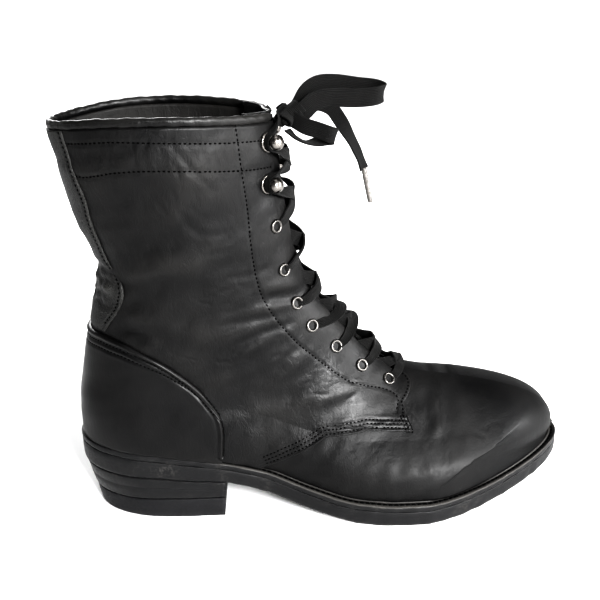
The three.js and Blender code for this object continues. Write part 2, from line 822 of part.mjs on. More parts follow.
function fromSolid(solid) {
  const mesh = solid.getMesh();
  const g = new THREE.BufferGeometry();
  const flat = new Float32Array((mesh.vertProperties.length / mesh.numProp) * 3);
  for (let i = 0; i < flat.length / 3; i += 1) {
    flat.set(mesh.vertProperties.subarray(i * mesh.numProp, i * mesh.numProp + 3), 3 * i);
  }
  g.setAttribute("position", new THREE.BufferAttribute(flat, 3));
  g.setIndex(new THREE.BufferAttribute(mesh.triVerts, 1));
  g.computeVertexNormals();
  return g;
}

// A flat strap over the throat from one point of the chart to another.
function strap(from, to, out, arch) {
  const rows = 7;
  const points = Array.from({ length: rows }, (_, i) => {
    const t = i / (rows - 1);
    const w = mix(from[0], to[0], t);
    const v = mix(from[1], to[1], t);
    const lift = out + arch * Math.sin(Math.PI * t);
    const n = faceNormal(0.9, v).lerp(faceNormal(1.1, v), clamp01((w - 0.9) / 0.2)).normalize();
    return { p: face(w, v).addScaledVector(n, lift), n };
  });
  const along = points.map((row, i) => {
    const a = points[Math.max(i - 1, 0)].p;
    const b = points[Math.min(i + 1, rows - 1)].p;
    return b.clone().sub(a).normalize();
  });
  const at = (i, j, height) => {
    const across = along[i].clone().cross(points[i].n).normalize();
    return points[i].p
      .clone()
      .addScaledVector(across, LACE_WIDTH * (j / 2 - 0.5))
      .addScaledVector(points[i].n, height);
  };
  const outerAt = (i, j) => at(i, j, LACE_THICK / 2);
  const innerAt = (i, j) => at(i, j, -LACE_THICK / 2);
  return shell(rows, 3, outerAt, innerAt, () => true, false);
}

function addCrossings() {
  for (let k = 0; k < EYELETS.length - 1; k += 1) {
    const low = EYELETS[k];
    const high = EYELETS[k + 1];
    const clear = EYELET_R + 1.4;
    const lowW = edgeShare(low.height, low.half - clear);
    const highW = edgeShare(high.height, high.half - clear - (high.hook ? 1.6 : 0));
    const rise = (high.height - low.height) * 0.27;
    const a = strap([lowW, low.height + rise], [2 - highW, high.height - rise], 2.2, 0);
    const b = strap([2 - lowW, low.height + rise], [highW, high.height - rise], 2.83, 0.31);
    const bodies = toSolid(a).add(toSolid(b)).decompose();
    bodies.sort((p, q) => q.volume() - p.volume());
    add("lace_cross_" + (k + 1), fromSolid(bodies[0]), "lace");
  }
}

function addBow() {
  const line = (rows) => rows.map((row) => new THREE.Vector3(row.x, row.y, row.z));
  add("lace_knot", tube(line(KNOT), KNOT_R, 8, false), "lace");
  add("lace_loop_long", tube(line(LONG_LOOP), CORD_R, 8, false), "lace");
  add("lace_loop_short", tube(line(SHORT_LOOP), CORD_R, 8, false), "lace");
  add("lace_end", tube(line(LACE_END), CORD_R, 8, false), "lace");
  add("aglet", tube(line(AGLET), AGLET_R, 8, false), "clear");
}

addSole();
addHeel();
addUpper();
addTongue();
addCounter();
addBinding();
addEyelets();
addCrossings();
addBow();
boot.position.x = -ORIGIN_X;

export default boot;
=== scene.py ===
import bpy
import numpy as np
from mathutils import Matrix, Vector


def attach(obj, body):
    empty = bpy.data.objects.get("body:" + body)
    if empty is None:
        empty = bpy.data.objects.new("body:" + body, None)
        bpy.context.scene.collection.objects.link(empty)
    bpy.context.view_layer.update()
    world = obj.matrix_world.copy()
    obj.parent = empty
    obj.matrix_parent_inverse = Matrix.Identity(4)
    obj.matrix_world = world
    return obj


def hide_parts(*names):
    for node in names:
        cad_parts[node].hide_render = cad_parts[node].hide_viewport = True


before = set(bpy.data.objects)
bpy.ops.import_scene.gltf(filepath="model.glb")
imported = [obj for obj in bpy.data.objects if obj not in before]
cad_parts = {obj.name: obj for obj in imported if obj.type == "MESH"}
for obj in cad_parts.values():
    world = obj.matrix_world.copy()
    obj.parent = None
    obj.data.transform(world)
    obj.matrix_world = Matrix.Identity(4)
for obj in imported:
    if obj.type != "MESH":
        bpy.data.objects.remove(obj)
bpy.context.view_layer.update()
# %% [markdown]
# # A worn lace-up combat boot, right foot
# The frame already holds the boot as plain faceted solids. Each cell below makes one of the
# maker's pieces again with its real finish: creased leather, stitches, a stacked heel, metal
# eyelets and a flat woven lace. Sizes are in millimetres, counted from the back of the sole,
# and `place` turns them into the frame's metres.

ORIGIN_X = 47.0  # centre of the heel's resting face, from the back of the sole
rng = np.random.default_rng(11)


def place(points):
    """Millimetres from the back of the sole to metres in the frame: slide, then scale."""
    return (np.asarray(points, float) - [ORIGIN_X, 0, 0]) * 0.001


# %% [markdown]
# ## Camera
# It stands above the boot's outer side and looks a little down and forward, as one would
# look at a boot on a shop's floor. The lens is longer than the frame needs, and the shift
# centres the boot, so that the perspective is that of the eye's own place.

# %% Camera
EYE = Vector((0.0686, -0.4586, 0.3043))
AHEAD = Vector((0.12534, 0.92700, -0.35347)).normalized()
ROLL = np.radians(-1.09)
unrolled = AHEAD.cross(Vector((0, 0, 1))).normalized()
upright = unrolled.cross(AHEAD)
right = np.cos(ROLL) * unrolled - np.sin(ROLL) * upright
above = np.sin(ROLL) * unrolled + np.cos(ROLL) * upright
camera_data = bpy.data.cameras.new("camera")
camera_data.sensor_width = 36
camera_data.lens = 49.5
camera_data.shift_x = -0.125
camera_data.shift_y = -0.02
camera = bpy.data.objects.new("camera", camera_data)
turn = Matrix((right, above, -AHEAD)).transposed().to_4x4()
camera.matrix_world = Matrix.Translation(EYE) @ turn
bpy.context.scene.collection.objects.link(camera)
bpy.context.scene.camera = camera
print("camera at", tuple(round(c, 3) for c in EYE))

# %% [markdown]
# ## Meshes from grids
# Every new piece is a grid of points worked out as whole arrays. A sheet of leather is two
# such grids, outer and inner face, joined by a rim, so it is one closed shell.


# %% From arrays to a mesh
def volume(points, faces):
    """Volume inside closed faces: each triangle with the origin makes a small tent."""
    fans = np.array([(f[0], f[k], f[k + 1]) for f in faces for k in range(1, len(f) - 1)])
    a, b, c = np.moveaxis(np.asarray(points, float)[fans], 1, 0)
    return float((a * np.cross(b, c)).sum() / 6)


def build(name, points, faces, material, slot, replaced=(), uv=None, marks=None):
    """One object from points (mm) and faces, shaded smooth, riding the boot's body."""
    faces = [tuple(map(int, f)) for f in faces]
    if volume(points, faces) < 0:
        faces = [f[::-1] for f in faces]
    mesh = bpy.data.meshes.new(name)
    mesh.from_pydata(place(points).tolist(), [], faces)
    mesh.polygons.foreach_set("use_smooth", [True] * len(mesh.polygons))
    if uv is not None:
        layer = mesh.uv_layers.new(name="UVMap")
        corners = np.empty(len(mesh.loops), int)
        mesh.loops.foreach_get("vertex_index", corners)
        layer.data.foreach_set("uv", np.asarray(uv, float)[corners].ravel())
    for key, values in (marks or {}).items():
        layer = mesh.attributes.new(key, "FLOAT", "POINT")
        layer.data.foreach_set("value", np.asarray(values, np.float32).ravel())
    mesh.materials.append(material)
    piece = bpy.data.objects.new(name, mesh)
    bpy.context.scene.collection.objects.link(piece)
    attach(piece, "root")
    if replaced:
        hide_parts(*replaced)
    print(name, len(points), "points,", len(faces), "faces")
    return piece


def grid_faces(rows, columns, wrap=False, start=0):
    """Quads of a grid stored row by row; wrap joins the last column to the first."""
    i, j = np.meshgrid(np.arange(rows - 1), np.arange(columns - (not wrap)), indexing="ij")
    nxt = (j + 1) % columns
    quads = np.stack([i * columns + j, i * columns + nxt,
                      (i + 1) * columns + nxt, (i + 1) * columns + j], -1)
    return quads.reshape(-1, 4) + start


def tube_faces(rows, sides):
    """A tube of `rows` rings, with a flat face over both ends."""
    last = (rows - 1) * sides
    return grid_faces(rows, sides, True).tolist() + [list(range(sides))[::-1],
                                                     list(range(last, last + sides))]


def ring_faces(rows, sides):
    """A tube bent back on itself: its last ring joins the first."""
    a, last = np.arange(sides), (rows - 1) * sides
    b = np.roll(a, -1)
    return np.concatenate([grid_faces(rows, sides, True),
                           np.stack([last + a, last + b, b, a], -1)])


def closed_sheet(outer, inner, wrap=False):
    """Outer and inner grids (rows, columns, 3) joined by a rim: points and faces."""
    rows, columns = outer.shape[:2]
    count = rows * columns
    points = np.concatenate([outer.reshape(-1, 3), inner.reshape(-1, 3)])
    faces = [grid_faces(rows, columns, wrap), grid_faces(rows, columns, wrap, count)[:, ::-1]]
    at = np.arange(count).reshape(rows, columns)
    edges = [at[0][::-1], at[-1]]
    if wrap:
        edges = [np.append(at[0], at[0, 0])[::-1], np.append(at[-1], at[-1, 0])]
    else:
        edges += [at[:, 0], at[::-1, -1]]
    for edge in edges:
        a, b = edge[:-1], edge[1:]
        faces.append(np.stack([a, b, b + count, a + count], -1))
    return points, np.concatenate(faces)


def build_sheet(name, outer, inner, material, slot, replaced=(), ridge=None, wrap=False):
    """A sheet of leather as one object, with the mark of its points on both faces: paler crests, partly rub
    wear and partly a painted highlight, and a painted highlight on cut edges.
    """
    marks = None if ridge is None else {"ridge": np.concatenate([ridge.ravel()] * 2)}
    build(name, *closed_sheet(outer, inner, wrap), material, slot, replaced, marks=marks)


def smooth(a, b, t):
    """Soft step from 0 at a to 1 at b."""
    s = np.clip((t - a) / (b - a), 0, 1)
    return s * s * (3 - 2 * s)


def mix(a, b, t):
    return a + (b - a) * t


def run_of(line):
    """Distance along a line at each of its points."""
    return np.append(0, np.cumsum(np.linalg.norm(np.diff(line, axis=0), axis=1)))


def through(keys, values):
    """Smooth curve through a table's rows: a cubic between rows with the slopes of their
    neighbours, flat where two rows are equal."""
    keys, values = np.asarray(keys, float), np.asarray(values, float)
    last = len(keys) - 1
    low, high = np.maximum(np.arange(last + 1) - 1, 0), np.minimum(np.arange(last + 1) + 1, last)
    slope = (values[high] - values[low]) / (keys[high] - keys[low])

    def value(at):
        t = np.clip(at, keys[0], keys[-1])
        i = np.clip(np.searchsorted(keys, t, side="right") - 1, 0, last - 1)
        span = keys[i + 1] - keys[i]
        s = (t - keys[i]) / span
        keep = np.where(values[i] == values[i + 1], 0, 1)
        return ((2 * s**3 - 3 * s**2 + 1) * values[i] + (s**3 - 2 * s**2 + s) * span * slope[i] * keep
                + (3 * s**2 - 2 * s**3) * values[i + 1] + (s**3 - s**2) * span * slope[i + 1] * keep)

    return value


# %% [markdown]
# ## The shape of the last
# The upper is a function of two parameters: w runs from the back seam (0) over the outer
# side to the front line (1) and back over the inner side (2); v runs from the sole (0) to
# the collar (1). The side view comes from a back, a front and a collar line, and the half
# width at any point of that view rounds off towards the back and the front line.

# %% Tables of the last
SOLE = np.array([  # x, centre, half, under, top
    [0, -1, 34, 30, 47], [25, -1, 34, 28.5, 45], [45, -1.5, 34, 27, 42.5],
    [65, -2, 35, 25, 39.5], [88, -3, 35, 23, 36], [110, -4.5, 35, 16.5, 30],
    [135, -7, 39, 7.5, 21], [158, -7.5, 46, 2, 15.5], [174, -6.5, 50, 0, 14],
    [185, -6, 52, 0, 13.5], [205, -4.5, 54, 0, 13.5], [214, -3.5, 54, 0, 13.5],
    [230, -2, 54, 1.5, 15], [248, 0, 54, 4.5, 17.5], [279, 3, 54, 10.5, 23.5],
    [300, 4, 54, 15.5, 28]])
BACK = np.array([  # x, z
    [3, 47.5], [3, 60], [4.5, 78], [8.5, 98], [12.5, 116], [16.5, 133], [20, 147],
    [17.5, 163], [9.5, 188], [4, 212], [1.5, 227]])
FRONT = np.array([  # x, z, reach, drop, full
    [294.5, 28, 90, 46, 1.35], [296, 34, 90, 46, 1.4], [294.5, 41.5, 86, 46, 1.5],
    [288.5, 50.5, 80, 45, 1.6], [278, 58, 72, 45, 1.75], [260, 65, 66, 46, 1.9],
    [232, 71.5, 64, 50, 2], [208, 75, 62, 56, 2], [192, 79.5, 60, 60, 2],
    [180, 89, 60, 66, 2], [166, 104, 60, 70, 2], [152, 120.5, 60, 80, 2],
    [140.5, 137, 60, 90, 2], [132, 160, 58, 100, 2], [127, 184, 58, 110, 2],
    [124, 208, 60, 120, 2], [121, 231, 60, 120, 2]])
COLLAR = np.array([[1.5, 227], [32, 231.5], [62, 233], [92, 232.5], [121, 231]])  # x, z
SHAFT = np.array([  # z, half
    [50, 32.5], [80, 33.5], [110, 34.5], [140, 35], [165, 37], [190, 40],
    [215, 42], [240, 41.5]])
GAP = 0.35
sole_centre, sole_half, sole_under, sole_top = (through(SOLE[:, 0], SOLE[:, k]) for k in (1, 2, 3, 4))
shaft_half = through(SHAFT[:, 0], SHAFT[:, 1])


def shares(line):
    """Share of the way along a line of x, z rows."""
    step = np.hypot(*np.diff(line[:, :2], axis=0).T)
    return np.append(0, np.cumsum(step)) / step.sum()


back_x, back_z = (through(shares(BACK), BACK[:, k]) for k in (0, 1))
front_x, front_z, front_reach, front_drop, front_full = (
    through(shares(FRONT), FRONT[:, k]) for k in range(5))
collar_x, collar_z = (through(shares(COLLAR), COLLAR[:, k]) for k in (0, 1))


# %% The upper as a function
def fill(d, power):
    """How far a section has filled out at share d of its rounding length."""
    return np.sqrt(np.maximum(1 - (1 - np.clip(d, 0, 1)) ** power, 0))


def nearest(x, z, px, pz, across, along):
    """Distance to a line of points, lengths counted in `across` and `along`, and where."""
    ax, az = (x[:, None] - px[:-1]) / across, (z[:, None] - pz[:-1]) / along
    bx, bz = np.diff(px) / across, np.diff(pz) / along
    t = np.clip((ax * bx + az * bz) / (bx**2 + bz**2), 0, 1)
    gap = np.hypot(ax - t * bx, az - t * bz)
    i = gap.argmin(1)
    rows = np.arange(len(i))
    return gap[rows, i], i + t[rows, i]


FINE = np.linspace(0, 1, 301)
front_line = [f(FINE) for f in (front_x, front_z, front_reach, front_drop, front_full)]
COARSE = np.linspace(0, 1, 81)
back_line = [back_x(COARSE), back_z(COARSE)]


def half_width(x, z):
    """Half width of the upper at a point of its side view: the foot's outline low down and
    the shaft's half width high up, times how far the section has filled out from the front
    and from the back line."""
    shape = x.shape
    x, z = x.ravel(), z.ravel()
    out = np.empty(x.size)
    for a in range(0, x.size, 20000):
        xs, zs = x[a:a + 20000], z[a:a + 20000]
        front, where = nearest(xs, zs, front_line[0], front_line[1],
                               front_line[2][:-1], front_line[3][:-1])
        full = np.interp(where, np.arange(301), front_line[4])
        reach = mix(44, 60, smooth(60, 200, zs))[:, None]
        back, _ = nearest(xs, zs, back_line[0], back_line[1], reach, 70)
        rise = zs - sole_top(xs)
        edge = mix(1.6, 3.8, smooth(70, 130, xs)) + 1.6 * smooth(215, 265, xs)
        swell = mix(0.4, 2.2, smooth(70, 150, xs)) * np.sin(np.pi * np.clip(rise / 34, 0, 1))
        foot = sole_half(xs) - edge + swell
        out[a:a + 20000] = (mix(foot, shaft_half(zs), smooth(14, 88, rise))
                            * fill(np.maximum(front - 0.0002, 0), full)
                            * fill(np.maximum(back - 0.0002, 0), 2))
    return out.reshape(shape)


def side_view(s, v):
    """Side view of the upper: a patch between sole, collar, back and front line."""
    x0 = mix(BACK[0, 0], FRONT[0, 0], s)
    low = np.stack([x0, sole_top(x0) + GAP])
    high = np.stack([collar_x(s), collar_z(s)])
    rear, front = np.stack([back_x(v), back_z(v)]), np.stack([front_x(v), front_z(v)])
    corner = lambda row: np.array(row, float).reshape(2, *[1] * np.ndim(s))
    c00, c10 = corner(BACK[0, :2]), corner(FRONT[0, :2])
    c01, c11 = corner(COLLAR[0]), corner(COLLAR[-1])
    return ((1 - v) * low + v * high + (1 - s) * rear + s * front - (1 - s) * (1 - v) * c00
            - s * (1 - v) * c10 - (1 - s) * v * c01 - s * v * c11)


def skin(w, v):
    """Point of the upper's outer face at w, v."""
    w, v = np.broadcast_arrays(np.asarray(w, float), np.asarray(v, float))
    turn = np.mod(w, 2)
    u = np.where(turn <= 1, turn, 2 - turn)
    side = np.where(turn <= 1, -1, 1)
    x, z = side_view((1 - np.cos(np.pi * u)) / 2, v)
    rise = z - sole_top(x)
    middle = mix(sole_centre(x), mix(2.6, 0, smooth(105, 175, z)), smooth(2, 52, rise))
    return np.stack([x, middle + side * half_width(x, z), z], -1)


def unit(a):
    return a / np.maximum(np.linalg.norm(a, axis=-1, keepdims=True), 1e-9)


def skin_out(w, v):
    """Direction straight out of the leather at w, v."""
    along = skin(w + 0.014, v) - skin(w - 0.014, v)
    up = skin(w, np.minimum(v + 0.003, 1)) - skin(w, np.maximum(v - 0.003, 0))
    return unit(np.cross(along, up))


def grid_out(points, wrap=False):
    """Outward directions of a grid whose columns follow w and rows follow v."""
    if wrap:
        along = np.roll(points, -1, 1) - np.roll(points, 1, 1)
    else:
        along = np.gradient(points, axis=1)
    return unit(np.cross(along, np.gradient(points, axis=0)))


def edge_share(v, half):
    """w on the outer side where the face is a given distance from the middle."""
    low, high = np.full(np.shape(v), 0.5), np.ones(np.shape(v))
    for _ in range(24):
        mid = (low + high) / 2
        x, z = side_view((1 - np.cos(np.pi * mid)) / 2, v)
        wide = half_width(x, z) > half
        low, high = np.where(wide, mid, low), np.where(wide, high, mid)
    return (low + high) / 2


print("half width at the ball", round(float(half_width(np.array([195.0]), np.array([20.0]))[0]), 1))

# %% [markdown]
# ## Finishes
# Smooth black leather is dark with a soft gloss: fine pores, a few wider blotches that
# change its roughness, and a paler bloom where it has been rubbed; crests are paled too, partly rub
# wear and partly a painted highlight, and cut edges carry a painted highlight. Pores, rubbing and the
# weave of the lace are node groups, built once and placed with each material's own values.

# %% Node helpers
def group(name, inputs, outputs):
    """A node group with named number sockets: returns it with its input and output nodes."""
    made = bpy.data.node_groups.new(name, "ShaderNodeTree")
    for label, default in inputs.items():
        socket = made.interface.new_socket(label, in_out="INPUT", socket_type="NodeSocketFloat")
        socket.default_value = default
    for label in outputs:
        made.interface.new_socket(label, in_out="OUTPUT", socket_type="NodeSocketFloat")
    return made, made.nodes.new("NodeGroupInput"), made.nodes.new("NodeGroupOutput")


def put(tree, kind, links=None, **settings):
    """Add a node; links gives its inputs, each a number, a colour or another node's socket."""
    node = tree.nodes.new(kind)
    for key, value in settings.items():
        setattr(node, key, value)
    for key, value in (links or {}).items():
        socket = node.inputs[key]
        if isinstance(value, bpy.types.NodeSocket):
            tree.links.new(value, socket)
        else:
            socket.default_value = value
    return node


def sums(tree, operation, a, b=0.0):
    """One Math node."""
    return put(tree, "ShaderNodeMath", {0: a, 1: b}, operation=operation).outputs[0]


def spread(tree, value, low, high, to_low=0.0, to_high=1.0):
    """Soft map of a value from one range to another."""
    links = {"Value": value, "From Min": low, "From Max": high, "To Min": to_low, "To Max": to_high}
    return put(tree, "ShaderNodeMapRange", links, interpolation_type="SMOOTHSTEP").outputs[0]


def own_place(tree):
    """Place in the piece's own metres."""
    return put(tree, "ShaderNodeTexCoord").outputs["Object"]


def noise(tree, where, scale, detail, **more):
    """One noise, with `scale` bumps to the metre."""
    links = {"Vector": where, "Scale": scale, "Detail": detail, **more}
    return put(tree, "ShaderNodeTexNoise", links).outputs[0]


# %% Leather grain, rubbing and weave as groups
grain, given, result = group(
    "leather_grain", {"Pores per m": 900.0, "Pebble": 0.0, "Wrinkle": 0.3},
    ("Height", "Blotch"))
where = own_place(grain)
pores = put(grain, "ShaderNodeTexVoronoi", {"Vector": where, "Scale": given.outputs["Pores per m"]},
            feature="DISTANCE_TO_EDGE").outputs["Distance"]
fine = noise(grain, where, 1500.0, 4.0)
wide = noise(grain, where, 26.0, 4.0)
stretch = put(grain, "ShaderNodeMapping", {"Vector": where, "Scale": (1.0, 1.0, 0.45)}).outputs[0]
wrinkle = noise(grain, stretch, 230.0, 5.0, Roughness=0.62, Distortion=0.7)
fold = sums(grain, "ABSOLUTE", sums(grain, "SUBTRACT", wrinkle, 0.5))
fold = sums(grain, "MULTIPLY", spread(grain, fold, 0.0, 0.09), given.outputs["Wrinkle"])
pebble = sums(grain, "MULTIPLY", spread(grain, pores, 0.0, 0.4), given.outputs["Pebble"])
total = sums(grain, "ADD", sums(grain, "MULTIPLY", fine, 0.25), sums(grain, "ADD", fold, pebble))
grain.links.new(total, result.inputs["Height"])
grain.links.new(spread(grain, wide, 0.3, 0.7), result.inputs["Blotch"])

rub, given, result = group("rubbed_places", {"Size per m": 60.0, "Amount": 0.5}, ("Mask",))
where = own_place(rub)
patch = noise(rub, where, given.outputs["Size per m"], 6.0, Roughness=0.7)
speck = noise(rub, where, 700.0, 3.0)
both = sums(rub, "MULTIPLY", spread(rub, patch, 0.5, 0.75), spread(rub, speck, 0.42, 0.62))
rub.links.new(sums(rub, "MULTIPLY", both, given.outputs["Amount"]), result.inputs["Mask"])

weave, given, result = group("lace_weave", {"Rib mm": 0.9, "Pick mm": 0.7}, ("Height", "Shade"))
flat = put(weave, "ShaderNodeSeparateXYZ",
           {"Vector": put(weave, "ShaderNodeTexCoord").outputs["UV"]})


def ripple(distance, label):
    """A sine that repeats every so many millimetres, given by the group's socket."""
    turns = sums(weave, "DIVIDE", distance, given.outputs[label])
    return sums(weave, "SINE", sums(weave, "MULTIPLY", turns, 6.2832))


rib = ripple(flat.outputs["X"], "Rib mm")
lean = sums(weave, "MULTIPLY", sums(weave, "SIGN", rib), flat.outputs["X"])
pick = ripple(sums(weave, "ADD", flat.outputs["Y"], lean), "Pick mm")
height = sums(weave, "ADD", sums(weave, "MULTIPLY", rib, 0.5), sums(weave, "MULTIPLY", pick, 0.35))
weave.links.new(height, result.inputs["Height"])
weave.links.new(spread(weave, height, -0.8, 0.8), result.inputs["Shade"])


# %% Materials
def surface(name, colour, roughness, **sockets):
    """A material with a Principled surface; returns its tree and that node."""
    material = bpy.data.materials.new(name)
    material.use_nodes = True
    shader = material.node_tree.nodes["Principled BSDF"]
    shader.inputs["Base Color"].default_value = (*colour, 1)
    shader.inputs["Roughness"].default_value = roughness
    shader.inputs["Specular IOR Level"].default_value = 0.25
    for key, value in sockets.items():
        shader.inputs[key.replace("_", " ")].default_value = value
    material.diffuse_color = (*colour, 1)
    return material, material.node_tree, shader


def colours(tree, mask, low, high):
    """Mix two colours by a mask."""
    node = put(tree, "ShaderNodeMix", data_type="RGBA")
    node.inputs[6].default_value = (*low, 1)
    node.inputs[7].default_value = (*high, 1)
    tree.links.new(mask, node.inputs[0])
    return node.outputs[2]


def bump(tree, shader, height, distance):
    """Tilts the surface's normal by a height counted in steps of `distance` metres."""
    node = put(tree, "ShaderNodeBump", {"Height": height, "Distance": distance, "Strength": 1.0})
    tree.links.new(node.outputs[0], shader.inputs["Normal"])


def wear(tree, **values):
    """The mask of the rubbed places, and the mark that the piece's points carry, which pales them: rub wear
    low on the soles and partly on crests, and a painted highlight on crests, cut edges, the collar roll's top
    and the welt's top edge.
    """
    worn = put(tree, "ShaderNodeGroup", node_tree=rub)
    for key, value in values.items():
        worn.inputs[key.replace("_", " ")].default_value = value
    ridge = put(tree, "ShaderNodeAttribute", attribute_name="ridge")
    return worn.outputs["Mask"], ridge.outputs["Fac"]


def leather(name, low, high, rough, pebble=0.0, wrinkle=0.3, pores=900.0, depth=0.00012,
            rubbed=0.4, coat=0.05):
    """Black leather: pores and wrinkles as bump, blotches in the gloss, rubbed bloom, and the points' mark
    (0 in a crease, 1 on its crest) paling the crests a little, partly rub wear and partly a painted
    highlight, and paling cut edges as a painted highlight."""
    material, tree, shader = surface(name, low, rough, Coat_Weight=coat, Coat_Roughness=0.32)
    skin_grain = put(tree, "ShaderNodeGroup", node_tree=grain)
    for key, value in (("Pores per m", pores), ("Pebble", pebble), ("Wrinkle", wrinkle)):
        skin_grain.inputs[key].default_value = value
    worn, ridge = wear(tree, Amount=rubbed)
    # Colour: blotches, rubbed places and the points' mark pale the black; the mark is partly rub wear and
    # partly a painted highlight on crests and edges.
    paling_wear_and_highlight = sums(tree, "ADD", sums(tree, "MULTIPLY", skin_grain.outputs["Blotch"], 0.35),
                 sums(tree, "ADD", worn, sums(tree, "MULTIPLY", ridge, 0.5)))
    tree.links.new(colours(tree, paling_wear_and_highlight, low, high), shader.inputs["Base Color"])
    tree.links.new(spread(tree, skin_grain.outputs["Blotch"], 0.0, 1.0, rough - 0.06, rough + 0.08),
                   shader.inputs["Roughness"])
    bump(tree, shader, skin_grain.outputs["Height"], depth)
    return material


BLACK, WORN = (0.0035, 0.0035, 0.0037), (0.014, 0.0135, 0.013)
vamp_leather = leather("vamp_leather", BLACK, WORN, 0.53, wrinkle=0.26)
quarter_leather = leather("quarter_leather", BLACK, WORN, 0.46, wrinkle=0.4)
counter_leather = leather("counter_leather", BLACK, WORN, 0.42, wrinkle=0.15, rubbed=0.3)
strip_leather = leather("back_strip_leather", (0.012, 0.012, 0.012), (0.04, 0.04, 0.038), 0.5,
                        pebble=0.8, wrinkle=0.2, pores=700.0, depth=0.0003)
binding_leather = leather("binding_leather", BLACK, (0.035, 0.034, 0.032), 0.4, wrinkle=0.5)
tongue_leather = leather("tongue_leather", (0.007, 0.007, 0.007), WORN, 0.5, wrinkle=0.5)
lining_leather = leather("lining_leather", (0.012, 0.0115, 0.011), (0.03, 0.029, 0.027), 0.6,
                         pebble=0.2, wrinkle=0.6, coat=0.0)


SPECKLE = 700.0  # fine bumps to the metre


def plain(name, low, high, rough, size, depth, rubbed=0.5, **sockets):
    """Sole stack, rubber, thread: a dark colour, rubbed paler in places and paler where the points' mark is
    set (rub wear low on the soles, a painted highlight along the welt's top edge), with fine bump.
    """
    material, tree, shader = surface(name, low, rough, **sockets)
    worn, ridge = wear(tree, Amount=rubbed, Size_per_m=size)
    # The points' mark joins the rubbed places: low on the soles it is rub wear, on the welt's top edge a
    # painted highlight.
    mask = put(tree, "ShaderNodeClamp", {"Value": sums(tree, "ADD", worn, ridge)})
    tree.links.new(colours(tree, mask.outputs[0], low, high), shader.inputs["Base Color"])
    fine_noise = noise(tree, own_place(tree), SPECKLE, 4.0)
    tree.links.new(spread(tree, fine_noise, 0.3, 0.7, rough - 0.08, rough + 0.1),
                   shader.inputs["Roughness"])
    bump(tree, shader, fine_noise, depth)
    return material


sole_edge = plain("sole_edge", (0.012, 0.012, 0.0125), (0.075, 0.072, 0.068), 0.46, 45.0, 0.0001)
heel_stack = plain("heel_stack", (0.012, 0.012, 0.0125), (0.06, 0.058, 0.055), 0.44, 50.0, 0.0001)
lift_rubber = plain("lift_rubber", (0.013, 0.013, 0.014), (0.05, 0.05, 0.05), 0.55, 60.0, 0.0002)
insole_board = plain("insole_board", (0.02, 0.018, 0.016), (0.05, 0.045, 0.04), 0.8, 40.0, 0.0002)
thread = plain("thread", (0.001, 0.001, 0.001), (0.004, 0.004, 0.004), 0.85, 90.0, 0.00005, 0.3,
               Specular_IOR_Level=0.08)
gunmetal = plain("hardware_nickel", (0.2, 0.19, 0.18), (0.36, 0.34, 0.32), 0.28, 150.0, 0.00002,
                 0.3, Metallic=1.0)
eyelet_metal = plain("eyelet_metal", (0.13, 0.125, 0.12), (0.26, 0.25, 0.24), 0.36, 150.0, 0.00002,
                     0.3, Metallic=1.0, Specular_IOR_Level=0.5)
tip_plastic = plain("lace_tip_plastic", (0.09, 0.085, 0.08), (0.2, 0.19, 0.18), 0.25, 150.0, 0.00003,
                    0.5, Specular_IOR_Level=0.5)

lace_cotton, tree, shader = surface("lace_cotton", (0.003, 0.003, 0.003), 0.85,
                                    Sheen_Weight=0.03, Sheen_Roughness=0.5)
woven = put(tree, "ShaderNodeGroup", node_tree=weave)
tree.links.new(colours(tree, woven.outputs["Shade"], (0.0016, 0.0016, 0.0016), (0.009, 0.0088, 0.0085)),
               shader.inputs["Base Color"])
bump(tree, shader, woven.outputs["Height"], 0.00025)
print(len(bpy.data.materials), "finishes")

# %% [markdown]
# ## The lace
# A flat woven lace is a ribbon carried along a path: at each point the path has a direction
# and a line across the lace, and a thin section with two thicker selvedges is set on them.
# The free ends come first, because a cord has a fixed length: the long loop of the bow
# stands out over the toe, the short one droops, and one end hangs with its tip.

# %% A flat lace along a path
SECTION = np.array([[-1, 0], [-0.97, 0.8], [-0.86, 1], [-0.7, 0.75], [-0.35, 0.7], [0, 0.75],
                    [0.35, 0.7], [0.7, 0.75], [0.86, 1], [0.97, 0.8]])
SECTION = np.concatenate([SECTION, -SECTION])


def lace_along(rows, width, thick, step=0.9, waver=0.25, cup=0.0):
    """A ribbon: rows hold x, y, z and the direction across (3 numbers). Its path is the
    smooth curve through the rows, and its section is a flat lens as wide as `width`.
    Returns points, faces, uv in millimetres and the path."""
    rows = np.asarray(rows, float)
    gaps = run_of(rows[:, :3])
    count = max(int(gaps[-1] / step), 6)
    at = np.linspace(0, gaps[-1], count)
    path = np.stack([through(gaps, rows[:, k])(at) for k in range(3)], -1)
    across = np.stack([through(gaps, rows[:, k])(at) for k in (3, 4, 5)], -1)
    ahead = unit(np.gradient(path, axis=0))
    across = unit(across - (across * ahead).sum(1, keepdims=True) * ahead)
    out = np.cross(across, ahead)
    phase = rng.uniform(0, 6.28, 3)
    sway = waver * (np.sin(at / 5.1 + phase[0]) + 0.6 * np.sin(at / 2.3 + phase[1]))
    wide = (width[0] if np.ndim(width) else width) / 2 * np.ones(count)
    if np.ndim(width):
        wide = np.interp(at / gaps[-1], np.linspace(0, 1, len(width)), np.asarray(width) / 2)
    s, h = SECTION[:, 0], SECTION[:, 1]
    side = wide[:, None] * s
    rise = thick / 2 * h + cup * (s**2 - 0.4) * wide[:, None] + sway[:, None] * s
    points = path[:, None] + side[..., None] * across[:, None] + rise[..., None] * out[:, None]
    n = len(s)
    faces = [f[::-1] for f in tube_faces(count, n)]
    uv = np.stack([side, np.repeat(at[:, None], n, 1)], -1)
    return points.reshape(-1, 3), faces, uv.reshape(-1, 2), path


def length_of(path):
    return float(np.linalg.norm(np.diff(path, axis=0), axis=1).sum())


def cord_of(name, rows, width, thick, replaced, far_end, with_pieces=(), **more):
    points, faces, uv, path = lace_along(rows, width, thick, **more)
    piece = build(name, points, faces, lace_cotton, "lace_cotton", replaced, uv)
    print(name, "is", round(length_of(path)), "mm of lace")
    return piece


